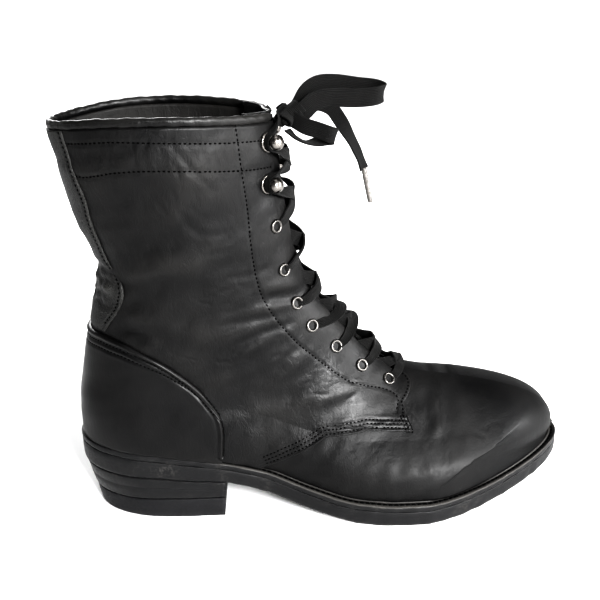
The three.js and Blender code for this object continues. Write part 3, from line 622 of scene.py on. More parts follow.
# %% Bow and hanging end
LONG_WIDTH, SHORT_WIDTH, END_WIDTH, LACE_THICK = 10.5, 9.0, 8.0, 1.1
LONG_LOOP = [  # x, y, z, across
    [129, 0, 230, -0.8, 0, 0.6], [134.5, 3, 237, -0.8, 0, 0.6], [139, 6, 244, -0.75, 0, 0.65],
    [145, 9, 247.5, -0.2, 0, 1], [154, 12, 247.8, 0, 0, 1], [167, 15, 246, 0.05, 0, 1],
    [178, 16, 244.6, 0.1, 0, 1], [182, 13, 243, 0.1, 0.1, 1], [178, 9.5, 241.5, 0.1, 0, 1],
    [166, 8, 240.5, 0, 0, 1], [152, 6, 241, -0.05, 0, 1], [143, 3, 239.5, -0.3, 0, 1],
    [136, -1, 234.5, -0.6, 0, 0.8], [130, -3, 229.5, -0.6, 0, 0.8]]
SHORT_LOOP = [
    [126, -3, 233, 0.6, -0.4, 1], [131, -6, 230.5, 0.5, -0.3, 1], [137, -8.5, 227.5, 0.3, 0, 1],
    [144, -10, 225.5, 0.25, 0, 1], [150, -11.5, 223.5, 0.3, 0.1, 1], [153, -9, 222, 0.4, 0.3, 0.9],
    [149, -6.5, 220.5, 0.3, 0.5, 0.6], [143, -6.5, 218.8, 0, 0.9, 0.3], [137, -7, 218.6, 0, 1, 0],
    [131.5, -6, 221, 0, 1, 0.1], [127, -4, 225, 0.3, 0.9, 0]]
HANGING_END = [
    [128, 2, 232, 0, 0.5, 1], [136, 5, 236, -0.3, 0.4, 1], [145, 6.5, 237.5, 0, 0.4, 1],
    [152, 6.5, 234.8, 0.7, 0.2, 0.7], [156.5, 5.5, 229, 0.9, 0, 0.45], [160.5, 5, 222.5, 0.8, 0.5, 0.4],
    [165, 5, 214.5, 0.5, 0.8, 0.2], [168.2, 4.6, 207.5, 0.5, 0.8, 0.1], [170.6, 4.2, 201, 0.6, 0.7, 0.1]]
TIP = np.array([[170.4, 4.2, 201.6], [171.6, 3.4, 195], [173, 2.4, 188], [174.2, 1.4, 182]])


def round_rod(path, radius, sides=16):
    """A rod: a circle of the given radii carried along a path, closed at both ends."""
    path = np.asarray(path, float)
    radius = np.broadcast_to(radius, len(path))
    ahead = unit(np.gradient(path, axis=0))
    across = unit(np.cross(ahead, [0.31, 0.9, 0.3]))
    up = np.cross(ahead, across)
    turn_by = np.linspace(0, 2 * np.pi, sides, endpoint=False)
    ring = (np.cos(turn_by)[None, :, None] * across[:, None]
            + np.sin(turn_by)[None, :, None] * up[:, None])
    points = (path[:, None] + radius[:, None, None] * ring).reshape(-1, 3)
    return points, tube_faces(len(path), sides)


tip_keys = np.linspace(0, 1, len(TIP))
tip_at = np.linspace(0, 1, 24)
tip_path = np.stack([through(tip_keys, TIP[:, k])(tip_at) for k in range(3)], -1)
tip_radius = 1.55 - 0.25 * smooth(0.9, 1, tip_at) + 0.15 * np.cos(tip_at * 55) * (tip_at < 0.25)
points, faces = round_rod(tip_path, tip_radius)
lace_tip = build("lace_tip", points, faces, tip_plastic, "aglet_plastic", ["aglet"])
cord_of("bow_long_loop", LONG_LOOP, LONG_WIDTH, LACE_THICK, ["lace_loop_long"], "object")
cord_of("bow_short_loop", SHORT_LOOP, SHORT_WIDTH, LACE_THICK, ["lace_loop_short"], "object", waver=0.2)
cord_of("lace_hanging_end", HANGING_END, END_WIDTH, LACE_THICK, ["lace_end"], "fitting", (lace_tip,))

# %% [markdown]
# ## Creases
# A worn boot's leather is never smooth: it folds at the ankle, across the instep and where
# the toes bend, and the band under the collar is full of fine wrinkles. The main folds are
# placed in the side view, each a soft trough or ridge along a bent line; families
# of small wrinkles fill in between, and a slow waviness covers the whole shaft.

# %% Main folds
FOLDS = np.array([  # x and z at start, middle and end, width, height (below 0 a trough)
    [66, 228, 76, 214, 91, 196, 1.5, -0.55], [72, 192, 78, 178, 102, 176, 1.9, -0.6],
    [86, 171, 91, 171, 98, 173, 1.2, -0.35], [36, 150, 52, 156, 73, 170, 5.5, 1.3],
    [50, 146, 66, 145, 88, 144, 6.5, -1.5], [90, 151, 104, 150, 118, 154, 1.5, -0.6],
    [106, 145, 120, 142, 139, 139, 4.2, 1.4], [110, 136, 124, 133, 139, 132, 3.2, -1.4],
    [82, 121, 106, 124, 139, 126, 2.3, -0.9], [100, 129, 118, 130, 136, 129, 3.0, 0.8],
    [88, 108, 109, 115, 132, 120, 2.0, -0.9], [96, 103, 112, 109, 136, 114, 2.8, 0.7],
    [34, 134, 52, 122, 90, 117, 5.0, 1.3], [33, 124, 46, 118, 62, 114, 3.5, -1.0],
    [86, 104, 98, 109, 111, 113, 2.2, -0.6], [114, 88, 124, 99, 132, 105, 1.9, -0.7],
    [114, 84, 126, 92, 141, 98, 3.4, 0.9], [136, 68, 150, 72, 166, 77, 2.6, 0.6],
    [120, 74, 136, 80, 150, 88, 3.0, -0.6], [100, 76, 116, 74, 134, 70, 5.0, -0.8],
    [206, 71, 206, 60, 203, 46, 4.0, -0.7], [213, 69, 213, 58, 212, 46, 3.4, 0.45],
    [222, 67, 221, 56, 219, 46, 4.5, -0.55], [236, 65, 234, 56, 230, 46, 4.5, -0.4],
    [206, 44, 208, 37, 210, 30, 1.1, -0.45], [234, 49, 237, 48, 241, 46, 0.9, -0.3],
    [58, 230, 56, 220, 56, 209, 1.3, -0.3], [52, 230, 50, 221, 52, 210, 1.2, -0.35],
    [24, 176, 36, 188, 44, 206, 5.0, -0.7], [104, 186, 112, 192, 120, 200, 3.0, -0.4]])
FAMILIES = np.array([  # x from, to, z from, to, angle, spread, length, width, height, count
    [14, 104, 209, 228, 84, 22, 12, 0.9, -0.26, 46], [60, 104, 168, 212, -55, 20, 15, 0.8, -0.26, 26],
    [20, 66, 150, 208, -70, 35, 14, 1.1, -0.16, 16], [78, 124, 132, 178, 12, 20, 14, 0.9, -0.32, 30],
    [86, 138, 98, 132, 18, 14, 16, 0.8, -0.3, 26], [40, 92, 96, 140, -15, 25, 12, 0.9, -0.18, 18],
    [118, 170, 66, 98, 24, 18, 11, 0.8, -0.2, 26], [150, 186, 38, 56, 30, 60, 6, 0.8, -0.18, 22],
    [188, 226, 30, 72, 88, 16, 9, 0.8, -0.26, 34], [232, 270, 30, 52, 40, 60, 5, 0.7, -0.14, 18]])


def wrinkle_families(seed):
    """Short bent lines scattered in each family's field, as more rows like FOLDS."""
    draw = np.random.default_rng(seed)
    rows = []
    for x0, x1, z0, z1, angle, spread, long, wide, high, count in FAMILIES:
        n = int(count)
        x, z = draw.uniform(x0, x1, n), draw.uniform(z0, z1, n)
        lean = np.radians(angle + draw.normal(0, spread, n))
        reach = long * draw.uniform(0.4, 1.0, n) / 2
        bend = draw.normal(0, 0.18, n) * reach
        dx, dz = np.cos(lean) * reach, np.sin(lean) * reach
        rows.append(np.stack([x - dx, z - dz, x - bend * np.sin(lean), z + bend * np.cos(lean),
                              x + dx, z + dz, wide * draw.uniform(0.7, 1.4, n),
                              high * draw.uniform(0.5, 1.3, n)], -1))
    return np.concatenate(rows)


def slow_waves(x, z, size, seed):
    """Smooth waviness about 1 high: a sum of plane waves about `size` long."""
    draw = np.random.default_rng(seed)
    total = np.zeros(np.shape(x))
    for _ in range(10):
        heading, length, phase = draw.uniform(0, 6.28), size * draw.uniform(0.7, 1.6), draw.uniform(0, 6.28)
        total += np.cos(6.28 * (x * np.cos(heading) + z * np.sin(heading)) / length + phase)
    return total / np.sqrt(5)


def relief(x, z, inner_side):
    """Height of the creased leather (mm) at side-view points: each fold is a bell across its
    bent line with a low shoulder on both sides, and fades at both ends."""
    shape = x.shape
    x, z = x.ravel(), z.ravel()
    total = np.zeros(x.size)
    folds = FOLDS.copy()
    if inner_side:
        folds[:, [0, 2, 4]] += 3.0
        folds[:, [1, 3, 5]] -= 2.0
        folds[:, 7] *= 0.85
    folds = np.concatenate([folds, wrinkle_families(23 if inner_side else 7)])
    t = np.linspace(0, 1, 9)
    for x0, z0, x1, z1, x2, z2, wide, high in folds:
        reach = 4 * wide
        near = np.flatnonzero((x > min(x0, x1, x2) - reach) & (x < max(x0, x1, x2) + reach)
                              & (z > min(z0, z1, z2) - reach) & (z < max(z0, z1, z2) + reach))
        if not len(near):
            continue
        bx, bz = 2 * x1 - (x0 + x2) / 2, 2 * z1 - (z0 + z2) / 2
        px = (1 - t)**2 * x0 + 2 * t * (1 - t) * bx + t**2 * x2
        pz = (1 - t)**2 * z0 + 2 * t * (1 - t) * bz + t**2 * z2
        gap, at = nearest(x[near], z[near], px, pz, 1.0, 1.0)
        share = at / 8
        fade = smooth(0, 0.25, share) * smooth(1, 0.75, share)
        bell = np.exp(-(gap / wide)**2) - 0.35 * np.exp(-((gap - 2.1 * wide) / wide)**2)
        total[near] += 0.5 * high * bell * fade
    body = smooth(40, 75, z) * smooth(233, 215, z) * smooth(196, 150, x)
    total += 0.3 * body * slow_waves(x, z, 34, 5 + inner_side)
    total += 0.08 * smooth(238, 222, x) * slow_waves(x, z, 9, 9 + inner_side)
    return total.reshape(shape)


def relief_across(base, inner_first, share):
    """Relief passing from one side's folds to the other's as share goes from 0 to 1."""
    x, z = base[..., 0], base[..., 2]
    return mix(relief(x, z, inner_first), relief(x, z, not inner_first), share)


# %% [markdown]
# ## Leather pieces
# A piece is cut from the upper's own function: its edge is a table in w and v, its outer
# face is lifted by its thickness, and a seam presses a shallow groove into it. The stitches
# are small capsules laid on the finished surface along the seam.


# %% Seams, grooves and stitches
def line_on_skin(rows, count=160):
    """Smooth line on the skin through rows of w, v."""
    rows = np.asarray(rows, float)
    at = run_of(skin(rows[:, 0], rows[:, 1]))
    fine = np.linspace(0, at[-1], count)
    return skin(through(at, rows[:, 0])(fine), through(at, rows[:, 1])(fine))


def distance_to(points, line):
    """Distance from each point to the nearest point of a finely sampled line."""
    flat = points.reshape(-1, 3)
    out = np.empty(len(flat))
    for a in range(0, len(flat), 8000):
        out[a:a + 8000] = np.linalg.norm(flat[a:a + 8000, None] - line[None], axis=-1).min(1)
    return out.reshape(points.shape[:-1])


def evenly(line, pitch):
    """Points of a line at an even pitch."""
    at = run_of(line)
    fine = np.arange(0.0, at[-1], pitch)
    return np.stack([np.interp(fine, at, line[:, k]) for k in range(3)], -1)


def lay_on(points, surface_points, surface_out):
    """Drop points on a finished surface: the nearest vertex's plane holds each of them."""
    flat, outs = surface_points.reshape(-1, 3), surface_out.reshape(-1, 3)
    pick = np.concatenate([np.linalg.norm(points[a:a + 60, None] - flat[None], axis=-1).argmin(1)
                           for a in range(0, len(points), 60)])
    n = outs[pick]
    return points - ((points - flat[pick]) * n).sum(1, keepdims=True) * n, n


def inset_line(line, out, by):
    """A line moved sideways on the leather: by is along the cross of out and heading."""
    ahead = unit(np.gradient(line, axis=0))
    return line + by * unit(np.cross(out, ahead))


def capsules(points, out, length, radius, sink=0.3):
    """Stitches: six-sided capsules along the line between neighbours, set into the leather."""
    ahead = unit(np.gradient(points, axis=0))
    ahead = unit(ahead - (ahead * out).sum(1, keepdims=True) * out)
    side = np.cross(out, ahead)
    ends = np.array([-0.5, -0.42, -0.2, 0.2, 0.42, 0.5])
    girth = np.array([0.15, 0.75, 1, 1, 0.75, 0.15])
    arch = np.array([-0.5, -0.1, 0.25, 0.25, -0.1, -0.5])
    around = np.linspace(0, 2 * np.pi, 6, endpoint=False)
    local = (ends[:, None] * length, girth[:, None] * radius * np.cos(around),
             girth[:, None] * radius * np.sin(around) + (arch[:, None] - sink) * radius)
    made = (points[:, None, None] + local[0][None, ..., None] * ahead[:, None, None]
            + local[1][None, ..., None] * side[:, None, None]
            + local[2][None, ..., None] * out[:, None, None])
    one, size = tube_faces(6, 6), 36
    return made.reshape(-1, 3), [[c + size * k for c in f] for k in range(len(points)) for f in one]


stitches = []


def sew(line, surface_points, surface_out, pitch=2.5, length=1.7, radius=0.46):
    """Lay one row of stitches along a line on a finished surface."""
    spots, out = lay_on(evenly(line, pitch), surface_points, surface_out)
    stitches.append(capsules(spots, out, length, radius))


def groove(points, lines, depth=0.35, wide=0.8):
    """A seam's shallow groove, with the leather pillowed a little beside it."""
    total = np.zeros(points.shape[:-1])
    for line in lines:
        gap = distance_to(points, line)
        total += 0.1 * np.exp(-((gap - 2.0) / 1.0)**2) - depth * np.exp(-(gap / wide)**2)
    return total


def edge_roll(gap, thick, radius=0.9):
    """Drop of a cut edge at distance gap from it: a quarter round."""
    return -thick * 0.7 * (1 - np.sqrt(np.maximum(1 - (1 - np.clip(gap / radius, 0, 1))**2, 0)))


# %% [markdown]
# ### Vamp
# One plain piece over the toe, with no cap. It runs a little way under the quarters.

# %% Vamp
LEATHER = 1.1  # thickness of vamp and quarters
LAP = np.array([  # w, and how far up the vamp reaches under the quarters
    [0.36, 0.01], [0.405, 0.045], [0.45, 0.12], [0.52, 0.2], [0.59, 0.225], [0.655, 0.24],
    [0.71, 0.3], [0.8, 0.36], [0.9, 0.41], [1, 0.42]])
lap_top = through(LAP[:, 0], LAP[:, 1])
share_w = np.linspace(0.36, 1.64, 330)
rise_v = np.linspace(0, 1, 104)[:, None]
vamp_w = np.broadcast_to(share_w, (len(rise_v), len(share_w)))
vamp_v = rise_v * lap_top(np.minimum(share_w, 2 - share_w))
base = skin(vamp_w, vamp_v)
out = grid_out(base)
height = relief_across(base, False, smooth(0.93, 1.07, vamp_w))
tuck = -0.8 * smooth(2.0, 0, (base[..., 2] - sole_top(base[..., 0])))
vamp_face = base + out * (height + tuck)[..., None]
# The mark pales the crease crests: partly rub wear, partly a painted highlight.
build_sheet("vamp", vamp_face, base + out * (height - LEATHER)[..., None], vamp_leather,
            "upper_leather", ["upper"], np.clip(height, 0, 1))

# %% [markdown]
# ### Quarters
# The two sides, each from the back seam to its facing. The lower front edge is the wing that
# laps over the vamp in three rows of stitches; from the bar tack its edge crosses the instep
# and then runs up beside the tongue.

# %% Edge and seams of a quarter
WING_TOP, WING_V, WING_REAR = 0.42, 0.39, 0.48  # share of the rows, v, and v at the back seam
WING = np.array([  # share of the rows, w, v of the edge, v at the back seam
    [0, 0.405, 0, 0], [0.06, 0.45, 0.065, 0.12], [0.13, 0.52, 0.155, 0.22], [0.19, 0.59, 0.18, 0.29],
    [0.24, 0.635, 0.17, 0.33], [0.26, 0.655, 0.165, 0.345], [0.31, 0.675, 0.215, 0.385],
    [0.35, 0.71, 0.265, 0.42], [0.39, 0.8, 0.33, 0.455], [0.42, 0.89, 0.39, 0.48]])
FACING_HALF = 10.5
facing_t = np.linspace(WING_TOP, 1, 240)
edge_w = np.interp(facing_t, np.linspace(WING_TOP, 1, 80),
                   edge_share(np.linspace(WING_V, 1, 80), FACING_HALF))
FACING_ROW = [  # w, v of the stitch row beside the eyelets
    [0.725, 1], [0.72, 0.93], [0.72, 0.85], [0.7, 0.78], [0.68, 0.715], [0.66, 0.65],
    [0.655, 0.595], [0.665, 0.54], [0.69, 0.495], [0.715, 0.44], [0.735, 0.39], [0.74, 0.35],
    [0.715, 0.29], [0.67, 0.235]]
BAND_ROW = [[0.2, 0.88], [0.25, 0.88], [0.36, 0.9], [0.475, 0.915], [0.6, 0.92], [0.72, 0.92],
            [0.86, 0.92]]
RIM_ROW = [[0.03, 0.97], [0.2, 0.965], [0.4, 0.97], [0.6, 0.97], [0.8, 0.97], [0.9, 0.975]]
ROWS, COLUMNS = 205, 170
row_t = np.interp(np.linspace(0, 1, ROWS), [0, 0.58, 1], [0, 0.46, 1])
on_wing = row_t <= WING_TOP
wing_w, wing_v, wing_rear = (np.interp(row_t, WING[:, 0], WING[:, k]) for k in (1, 2, 3))
rise_t = (row_t - WING_TOP) / 0.58
path_w = np.where(on_wing, wing_w, np.interp(row_t, facing_t, edge_w))
path_v = np.where(on_wing, wing_v, mix(WING_V, 1, rise_t))
rear_v = np.where(on_wing, wing_rear, mix(WING_REAR, 1, rise_t))
column_s = np.append(np.linspace(0, 0.965, COLUMNS - 12), 1 - 0.035 * np.linspace(0.9, 0, 12)**1.5)
bend = mix(1.8, 1.0, smooth(0.3, 0.5, row_t))[:, None]
quarter_w = column_s[None, :] * path_w[:, None]
quarter_v = mix(rear_v[:, None], path_v[:, None], column_s[None, :]**bend)
fold_check = (np.gradient(quarter_w, axis=1) * np.gradient(quarter_v, axis=0)
              - np.gradient(quarter_v, axis=1) * np.gradient(quarter_w, axis=0))
print("smallest cell of the quarter's grid", float(fold_check.min()))


# %% Quarters
FINE_SEAM = (2.3, 1.5, 0.42)  # pitch, length and radius of the finer stitches


def make_quarter(side):
    """One quarter: side is "outer" or "inner". The edge and seam tables hold w on the outer
    side, and 2 - w is the same place on the inner side."""
    is_outer = side == "outer"
    away, rim_column = (1, -1) if is_outer else (-1, 0)
    w = quarter_w if is_outer else 2 - quarter_w[:, ::-1]
    v = quarter_v if is_outer else quarter_v[:, ::-1]
    other = lambda rows: rows if is_outer else [[2 - at_w, at_v] for at_w, at_v in rows]
    base = skin(w, v)
    out = grid_out(base)
    edge, edge_outs = base[:, rim_column], out[:, rim_column]
    lap = smooth(46, 14, distance_to(base, edge[row_t < 0.43]))
    gap = distance_to(base, edge)
    facing, band, rim = (line_on_skin(other(rows), 260) for rows in (FACING_ROW, BAND_ROW, RIM_ROW))
    height = relief(base[..., 0], base[..., 2], not is_outer)
    lift = mix(0.3, 1.15, lap) + 0.25 * smooth(0.88, 0.9, v) * smooth(0.1, 0.2, np.minimum(w, 2 - w))
    face_out = lift + height + groove(base, [facing, band, rim]) + edge_roll(gap, LEATHER)
    corner = np.flatnonzero(row_t <= 0.262)[-1]
    edge_out = edge_outs[:corner]
    wing = [inset_line(edge[:corner], edge_out, away * by) for by in (2.0, 4.3, 6.6)]
    face_out = face_out + groove(base, wing, 0.4, 0.8)
    face = base + out * face_out[..., None]
    # The mark pales the crease crests, partly rub wear and partly a painted highlight, and the cut edge, a
    # painted highlight.
    marks = np.clip(height, 0, 1) + 0.35 * np.exp(-(gap / 0.8)**2)
    build_sheet("quarter_" + side, face, base + out * (lift + height - LEATHER)[..., None],
                quarter_leather, "upper_leather", ridge=marks)
    face_normal = grid_out(face)
    for line in wing:
        sew(line[4:], face, face_normal, *FINE_SEAM)
    instep = np.flatnonzero((row_t > 0.275) & (row_t < WING_TOP))
    sew(inset_line(edge[instep], edge_outs[instep], away * 1.9), face, face_normal, *FINE_SEAM)
    for line in (facing, band, rim):
        sew(line, face, face_normal)
    tack_line = edge[corner] + np.linspace(0, 1, 12)[:, None] * (edge[corner + 14] - edge[corner])
    for by in (0.6, 2.2, 3.8):
        sew(inset_line(tack_line, np.repeat(edge_out[-1:], 12, 0), away * by), face, face_normal,
            1.2, 1.4, 0.32)
    return face, face_normal


outer_face, outer_out = make_quarter("outer")
inner_face, inner_out = make_quarter("inner")

# %% [markdown]
# ### Back strip and heel counter
# A pebbled strip covers the back seam: it bulges above the heel, pinches and ends in a small
# crumple on top of the counter. The counter is a stiff piece round the heel with a rolled
# upper edge and two rows of stitches inside it.

# %% Back strip
STRIP = np.array([  # v, w of its edge
    [0.385, 0.15], [0.42, 0.17], [0.48, 0.205], [0.55, 0.22], [0.6, 0.19], [0.625, 0.175],
    [0.7, 0.19], [0.76, 0.205], [0.83, 0.22], [0.92, 0.21], [1, 0.205]])
strip_edge = through(STRIP[:, 0], STRIP[:, 1])
strip_v = np.linspace(0.385, 0.999, 150)[:, None]
spread_s = np.sin(np.linspace(-np.pi / 2, np.pi / 2, 84)) * 0.25 + np.linspace(-1, 1, 84) * 0.75
strip_w = spread_s * strip_edge(strip_v)
strip_v = np.broadcast_to(strip_v, strip_w.shape)
base = skin(strip_w, strip_v)
out = grid_out(base)
height = relief_across(base, True, smooth(-0.03, 0.03, strip_w))
bulge = 1.6 * np.exp(-((strip_v - 0.71) / 0.07)**2) * np.exp(-(spread_s / 0.8)**2)
pinch = -1.3 * np.exp(-((strip_v - 0.585) / 0.014)**2) - 0.9 * np.exp(-((strip_v - 0.47) / 0.012)**2)
crumple = 1.1 * np.exp(-((strip_v - 0.53) / 0.02)**2) + 0.5 * slow_waves(
    base[..., 1], base[..., 2], 8, 31) * np.exp(-((strip_v - 0.52) / 0.06)**2)
edges = [skin(sign * (strip_edge(strip_v[:, 0]) - 0.014), strip_v[:, 0]) for sign in (-1, 1)]
rims = np.minimum(distance_to(base, base[:, 0]), distance_to(base, base[:, -1]))
lift = 1.35 + bulge + pinch + crumple + height
face_out = lift + groove(base, edges, 0.3, 0.7) + edge_roll(rims, LEATHER)
strip_face = base + out * face_out[..., None]
# The mark pales the bulge and crumple, partly rub wear and partly a painted highlight, and the cut edges, a
# painted highlight.
marks = np.clip(0.5 * (bulge + crumple), 0, 1) + 0.4 * np.exp(-(rims / 0.7)**2)
build_sheet("back_strip", strip_face, base + out * (height + 0.25)[..., None], strip_leather,
            "upper_leather", ridge=marks)
strip_out = grid_out(strip_face)
for line in edges:
    sew(line[8:], strip_face, strip_out)

# %% Heel counter
COUNTER = np.array([  # w and v of its upper edge, from the back seam to the sole
    [0, 0.36], [0.08, 0.365], [0.15, 0.375], [0.22, 0.375], [0.27, 0.36], [0.305, 0.34],
    [0.335, 0.295], [0.355, 0.245], [0.365, 0.19], [0.37, 0.14], [0.365, 0.09], [0.36, 0.055],
    [0.355, 0.005]])
edge_at = run_of(skin(COUNTER[:, 0], COUNTER[:, 1]))
edge_at /= edge_at[-1]
turn_s = np.linspace(-0.97, 0.97, 190)
along_w = through(edge_at, COUNTER[:, 0])(np.abs(turn_s)) * np.sign(turn_s)
along_v = through(edge_at, COUNTER[:, 1])(np.abs(turn_s))
low_w = 0.355 * np.sin(np.pi / 2 * np.abs(turn_s))**0.9 * np.sign(turn_s)
up = (1 - (1 - np.linspace(0, 1, 80)) ** 1.25)[:, None]
counter_w, counter_v = mix(low_w, along_w, up), mix(0.0, along_v, up)
base = skin(counter_w, counter_v)
out = grid_out(base)
height = 0.5 * relief_across(base, True, smooth(-0.03, 0.03, counter_w))
gap = distance_to(base, base[-1])
roll = 0.75 * np.exp(-((gap - 1.6) / 1.0)**2) - 0.35 * np.exp(-((gap - 3.6) / 0.8)**2)
rows = [skin(*(mix(np.stack([low_w, 0 * low_w]), np.stack([along_w, along_v]), 1 - inset)))
        for inset in (0.075, 0.125)]
face_out = 1.9 + height + roll + groove(base, rows, 0.35, 0.8) + edge_roll(gap, 1.6, 1.2)
counter_face = base + out * face_out[..., None]
# The mark pales the crest of the rolled top edge, a painted highlight, and a band just above the sole.
marks = 0.6 * np.exp(-((gap - 1.4) / 0.9)**2) + 0.25 * smooth(8, 0, base[..., 2] - sole_top(base[..., 0]))
build_sheet("heel_counter_cover", counter_face, base + out * (0.3 + height)[..., None],
            counter_leather, "upper_leather", ["heel_counter"], marks)
counter_out = grid_out(counter_face)
for line in rows:
    sew(line[3:-3], counter_face, counter_out, 2.3, 1.5, 0.4)

# %% [markdown]
# ### Collar binding, lining, tongue and insole
# The rim is rolled in a strip of leather, a little creased. Inside there is a leather
# lining over the whole boot, a padded tongue behind the facings, and the insole.

# %% Collar binding
ROLL_RINGS, ROLL_SIDES = 260, 26
roll_end = float(edge_share(np.array(1.0), FACING_HALF - 0.5))
turn_w = np.linspace(-roll_end, roll_end, ROLL_RINGS)
rim_line = skin(turn_w, 1.0) - 0.9 * skin_out(turn_w, 0.998) + [0, 0, 2.1]
ahead = unit(np.gradient(rim_line, axis=0))
sideways = unit(np.cross(ahead, [0, 0, 1]))
around = np.linspace(0, 2 * np.pi, ROLL_SIDES, endpoint=False)
wobble = 1 + 0.05 * np.sin(turn_w * 61)[:, None] + 0.05 * np.sin(turn_w[:, None] * 143 + 2 * around)
end_close = np.sqrt(np.clip(1 - np.abs(np.linspace(-1, 1, ROLL_RINGS))**40, 0.02, 1))[:, None]
ring = ((1.75 * wobble * end_close * np.cos(around))[..., None] * sideways[:, None]
        + (2.5 * wobble * end_close * np.sin(around))[..., None] * np.array([0, 0, 1.0]))
# The mark pales the upper half of the roll: a painted highlight on its top.
build("collar_roll", (rim_line[:, None] + ring).reshape(-1, 3), tube_faces(ROLL_RINGS, ROLL_SIDES),
      binding_leather, "upper_leather", ["collar_binding"],
      marks={"ridge": np.tile(np.clip(np.sin(around), 0, 1), ROLL_RINGS) * 0.5})

# %% Lining
def make_lining(name, w, v, depth, wrap):
    """A lining 0.9 mm thick, its face `depth` under the skin; wrap closes it round the foot."""
    base = skin(w, v)
    out = grid_out(base, wrap)
    height = relief(base[..., 0], base[..., 2], False) * 0.9
    build_sheet(name, base + out * (height - depth)[..., None],
                base + out * (height - (depth + 0.9))[..., None], lining_leather, "upper_leather",
                wrap=wrap)


shaft_v = np.linspace(0.38, 1, 90)[:, None]
shaft_end = edge_share(shaft_v[:, 0], FACING_HALF + 0.4)[:, None]
make_lining("shaft_lining", np.linspace(-1, 1, 190) * shaft_end, shaft_v, 1.2, False)
make_lining("foot_lining", np.linspace(0, 2, 240, endpoint=False), np.linspace(0, 0.41, 50)[:, None],
            1.3, True)

# %% Tongue
tongue_v = np.linspace(0.4, 1, 100)[:, None]
tongue_half = mix(19, 27, smooth(0.5, 0.9, tongue_v[:, 0]))
tongue_edge = edge_share(tongue_v[:, 0], tongue_half)[:, None]
tongue_w = mix(tongue_edge, 2 - tongue_edge, np.linspace(0, 1, 70))
base = skin(tongue_w, np.broadcast_to(tongue_v, tongue_w.shape))
out = grid_out(base)
base = base + np.array([0, 0, 5.0]) * smooth(0.9, 1, tongue_v)[..., None]
height = 0.5 * slow_waves(base[..., 1], base[..., 2], 16, 40) * smooth(0.4, 0.5, tongue_v)
# The mark pales the crests of its waves: partly rub wear, partly a painted highlight.
build_sheet("tongue_leather_piece", base + out * (height - 3.6)[..., None],
            base + out * (height - 5.9)[..., None], tongue_leather, "tongue_leather", ["tongue"],
            np.clip(height, 0, 1))


# %% [markdown]
# ## Sole
# The outsole, welt and insole share one outline: half a width about a centre line that
# curves with the foot, closing to a round at the toe and at the heel. Each is a stack of
# loops of that outline, inset and raised, closed above and below by strips.

# %% Outline and stacks of loops
SOLE_LENGTH, WELT_HEIGHT, WELT_IN = 300.0, 3.8, 11.5


def outline(stations, inset):
    """Both sides of the sole's outline, inset: loops of x, y with shared stations."""
    share = (1 - np.cos(np.pi * np.linspace(0, 1, stations + 1))) / 2
    x = share * SOLE_LENGTH
    full = inset + share * (SOLE_LENGTH - 2 * inset)
    half = (np.maximum(sole_half(full) - inset, 4) * fill((SOLE_LENGTH - x) / 95, 1.35)
            * fill(x / 46, 2))
    return full, sole_centre(full), half


def loops_to_piece(rings, stations, closed=False):
    """Points and faces of loops stacked upwards. The ends are closed by a fine grid between
    the two sides, or, when closed, the last loop joins the first."""
    count = 2 * stations
    points = [np.concatenate([np.stack([x, c - h, z], -1),
                              np.stack([x, c + h, z], -1)[1:-1][::-1]]) for x, c, h, z in rings]
    if closed:
        return np.concatenate(points), ring_faces(len(rings), count)
    faces = [grid_faces(len(rings), count, True)]
    i = np.arange(1, stations - 1)
    for first, flip in ((0, True), ((len(rings) - 1) * count, False)):
        strip = np.stack([first + i, first + i + 1, first + count - i - 1, first + count - i], -1)
        faces.append(strip[:, ::-1] if flip else strip)
        for tri in ([first, first + 1, first + count - 1],
                    [first + stations, first + stations + 1, first + stations - 1]):
            faces.append(np.array([tri[::-1] if flip else tri]))
    points = np.concatenate(points)
    return points, [f for part in faces for f in part.tolist()]


def level(stations, inset, height):
    """One loop: the outline at an inset, its height a function of x."""
    x, centre, half = outline(stations, inset)
    return x, centre, half, height(x)


STATIONS = 230
seam = lambda x: sole_top(x) - WELT_HEIGHT


def worn_edge(points, seed, amount=0.18):
    """Small dents of use along an edge."""
    wave = slow_waves(points[:, 0] + points[:, 1], points[:, 2] * 2.2, 13, seed)
    small = slow_waves(points[:, 0] - points[:, 1], points[:, 2] * 3.1, 3.7, seed + 1)
    return points + np.stack([0 * wave, np.sign(points[:, 1]) * amount * (0.7 * wave + 0.3 * small),
                              0 * wave], -1)


# %% Outsole
wall = [(1.6, 0.0, 0), (1.0, 0.25, 0), (0.45, 0.8, 0), (0.15, 1.7, 0), (0, 0, 0.25), (0, 0, 0.45),
        (0.02, 0, 0.7), (0.1, -0.5, 1), (0.35, -0.12, 1), (1.2, -0.02, 1)]
rings = [level(STATIONS, inset, lambda x, up=up, share=share: mix(sole_under(x), seam(x), share) + up)
         for inset, up, share in wall]
points, faces = loops_to_piece(rings, STATIONS)
points = worn_edge(points, 51)
share_up = (points[:, 2] - sole_under(points[:, 0])) / (seam(points[:, 0]) - sole_under(points[:, 0]))
marks = 0.3 * smooth(0.25, 0.0, share_up) * smooth(120, 170, points[:, 0])
build("outsole_piece", points, faces, sole_edge, "sole_edge", ["outsole"], marks={"ridge": marks})

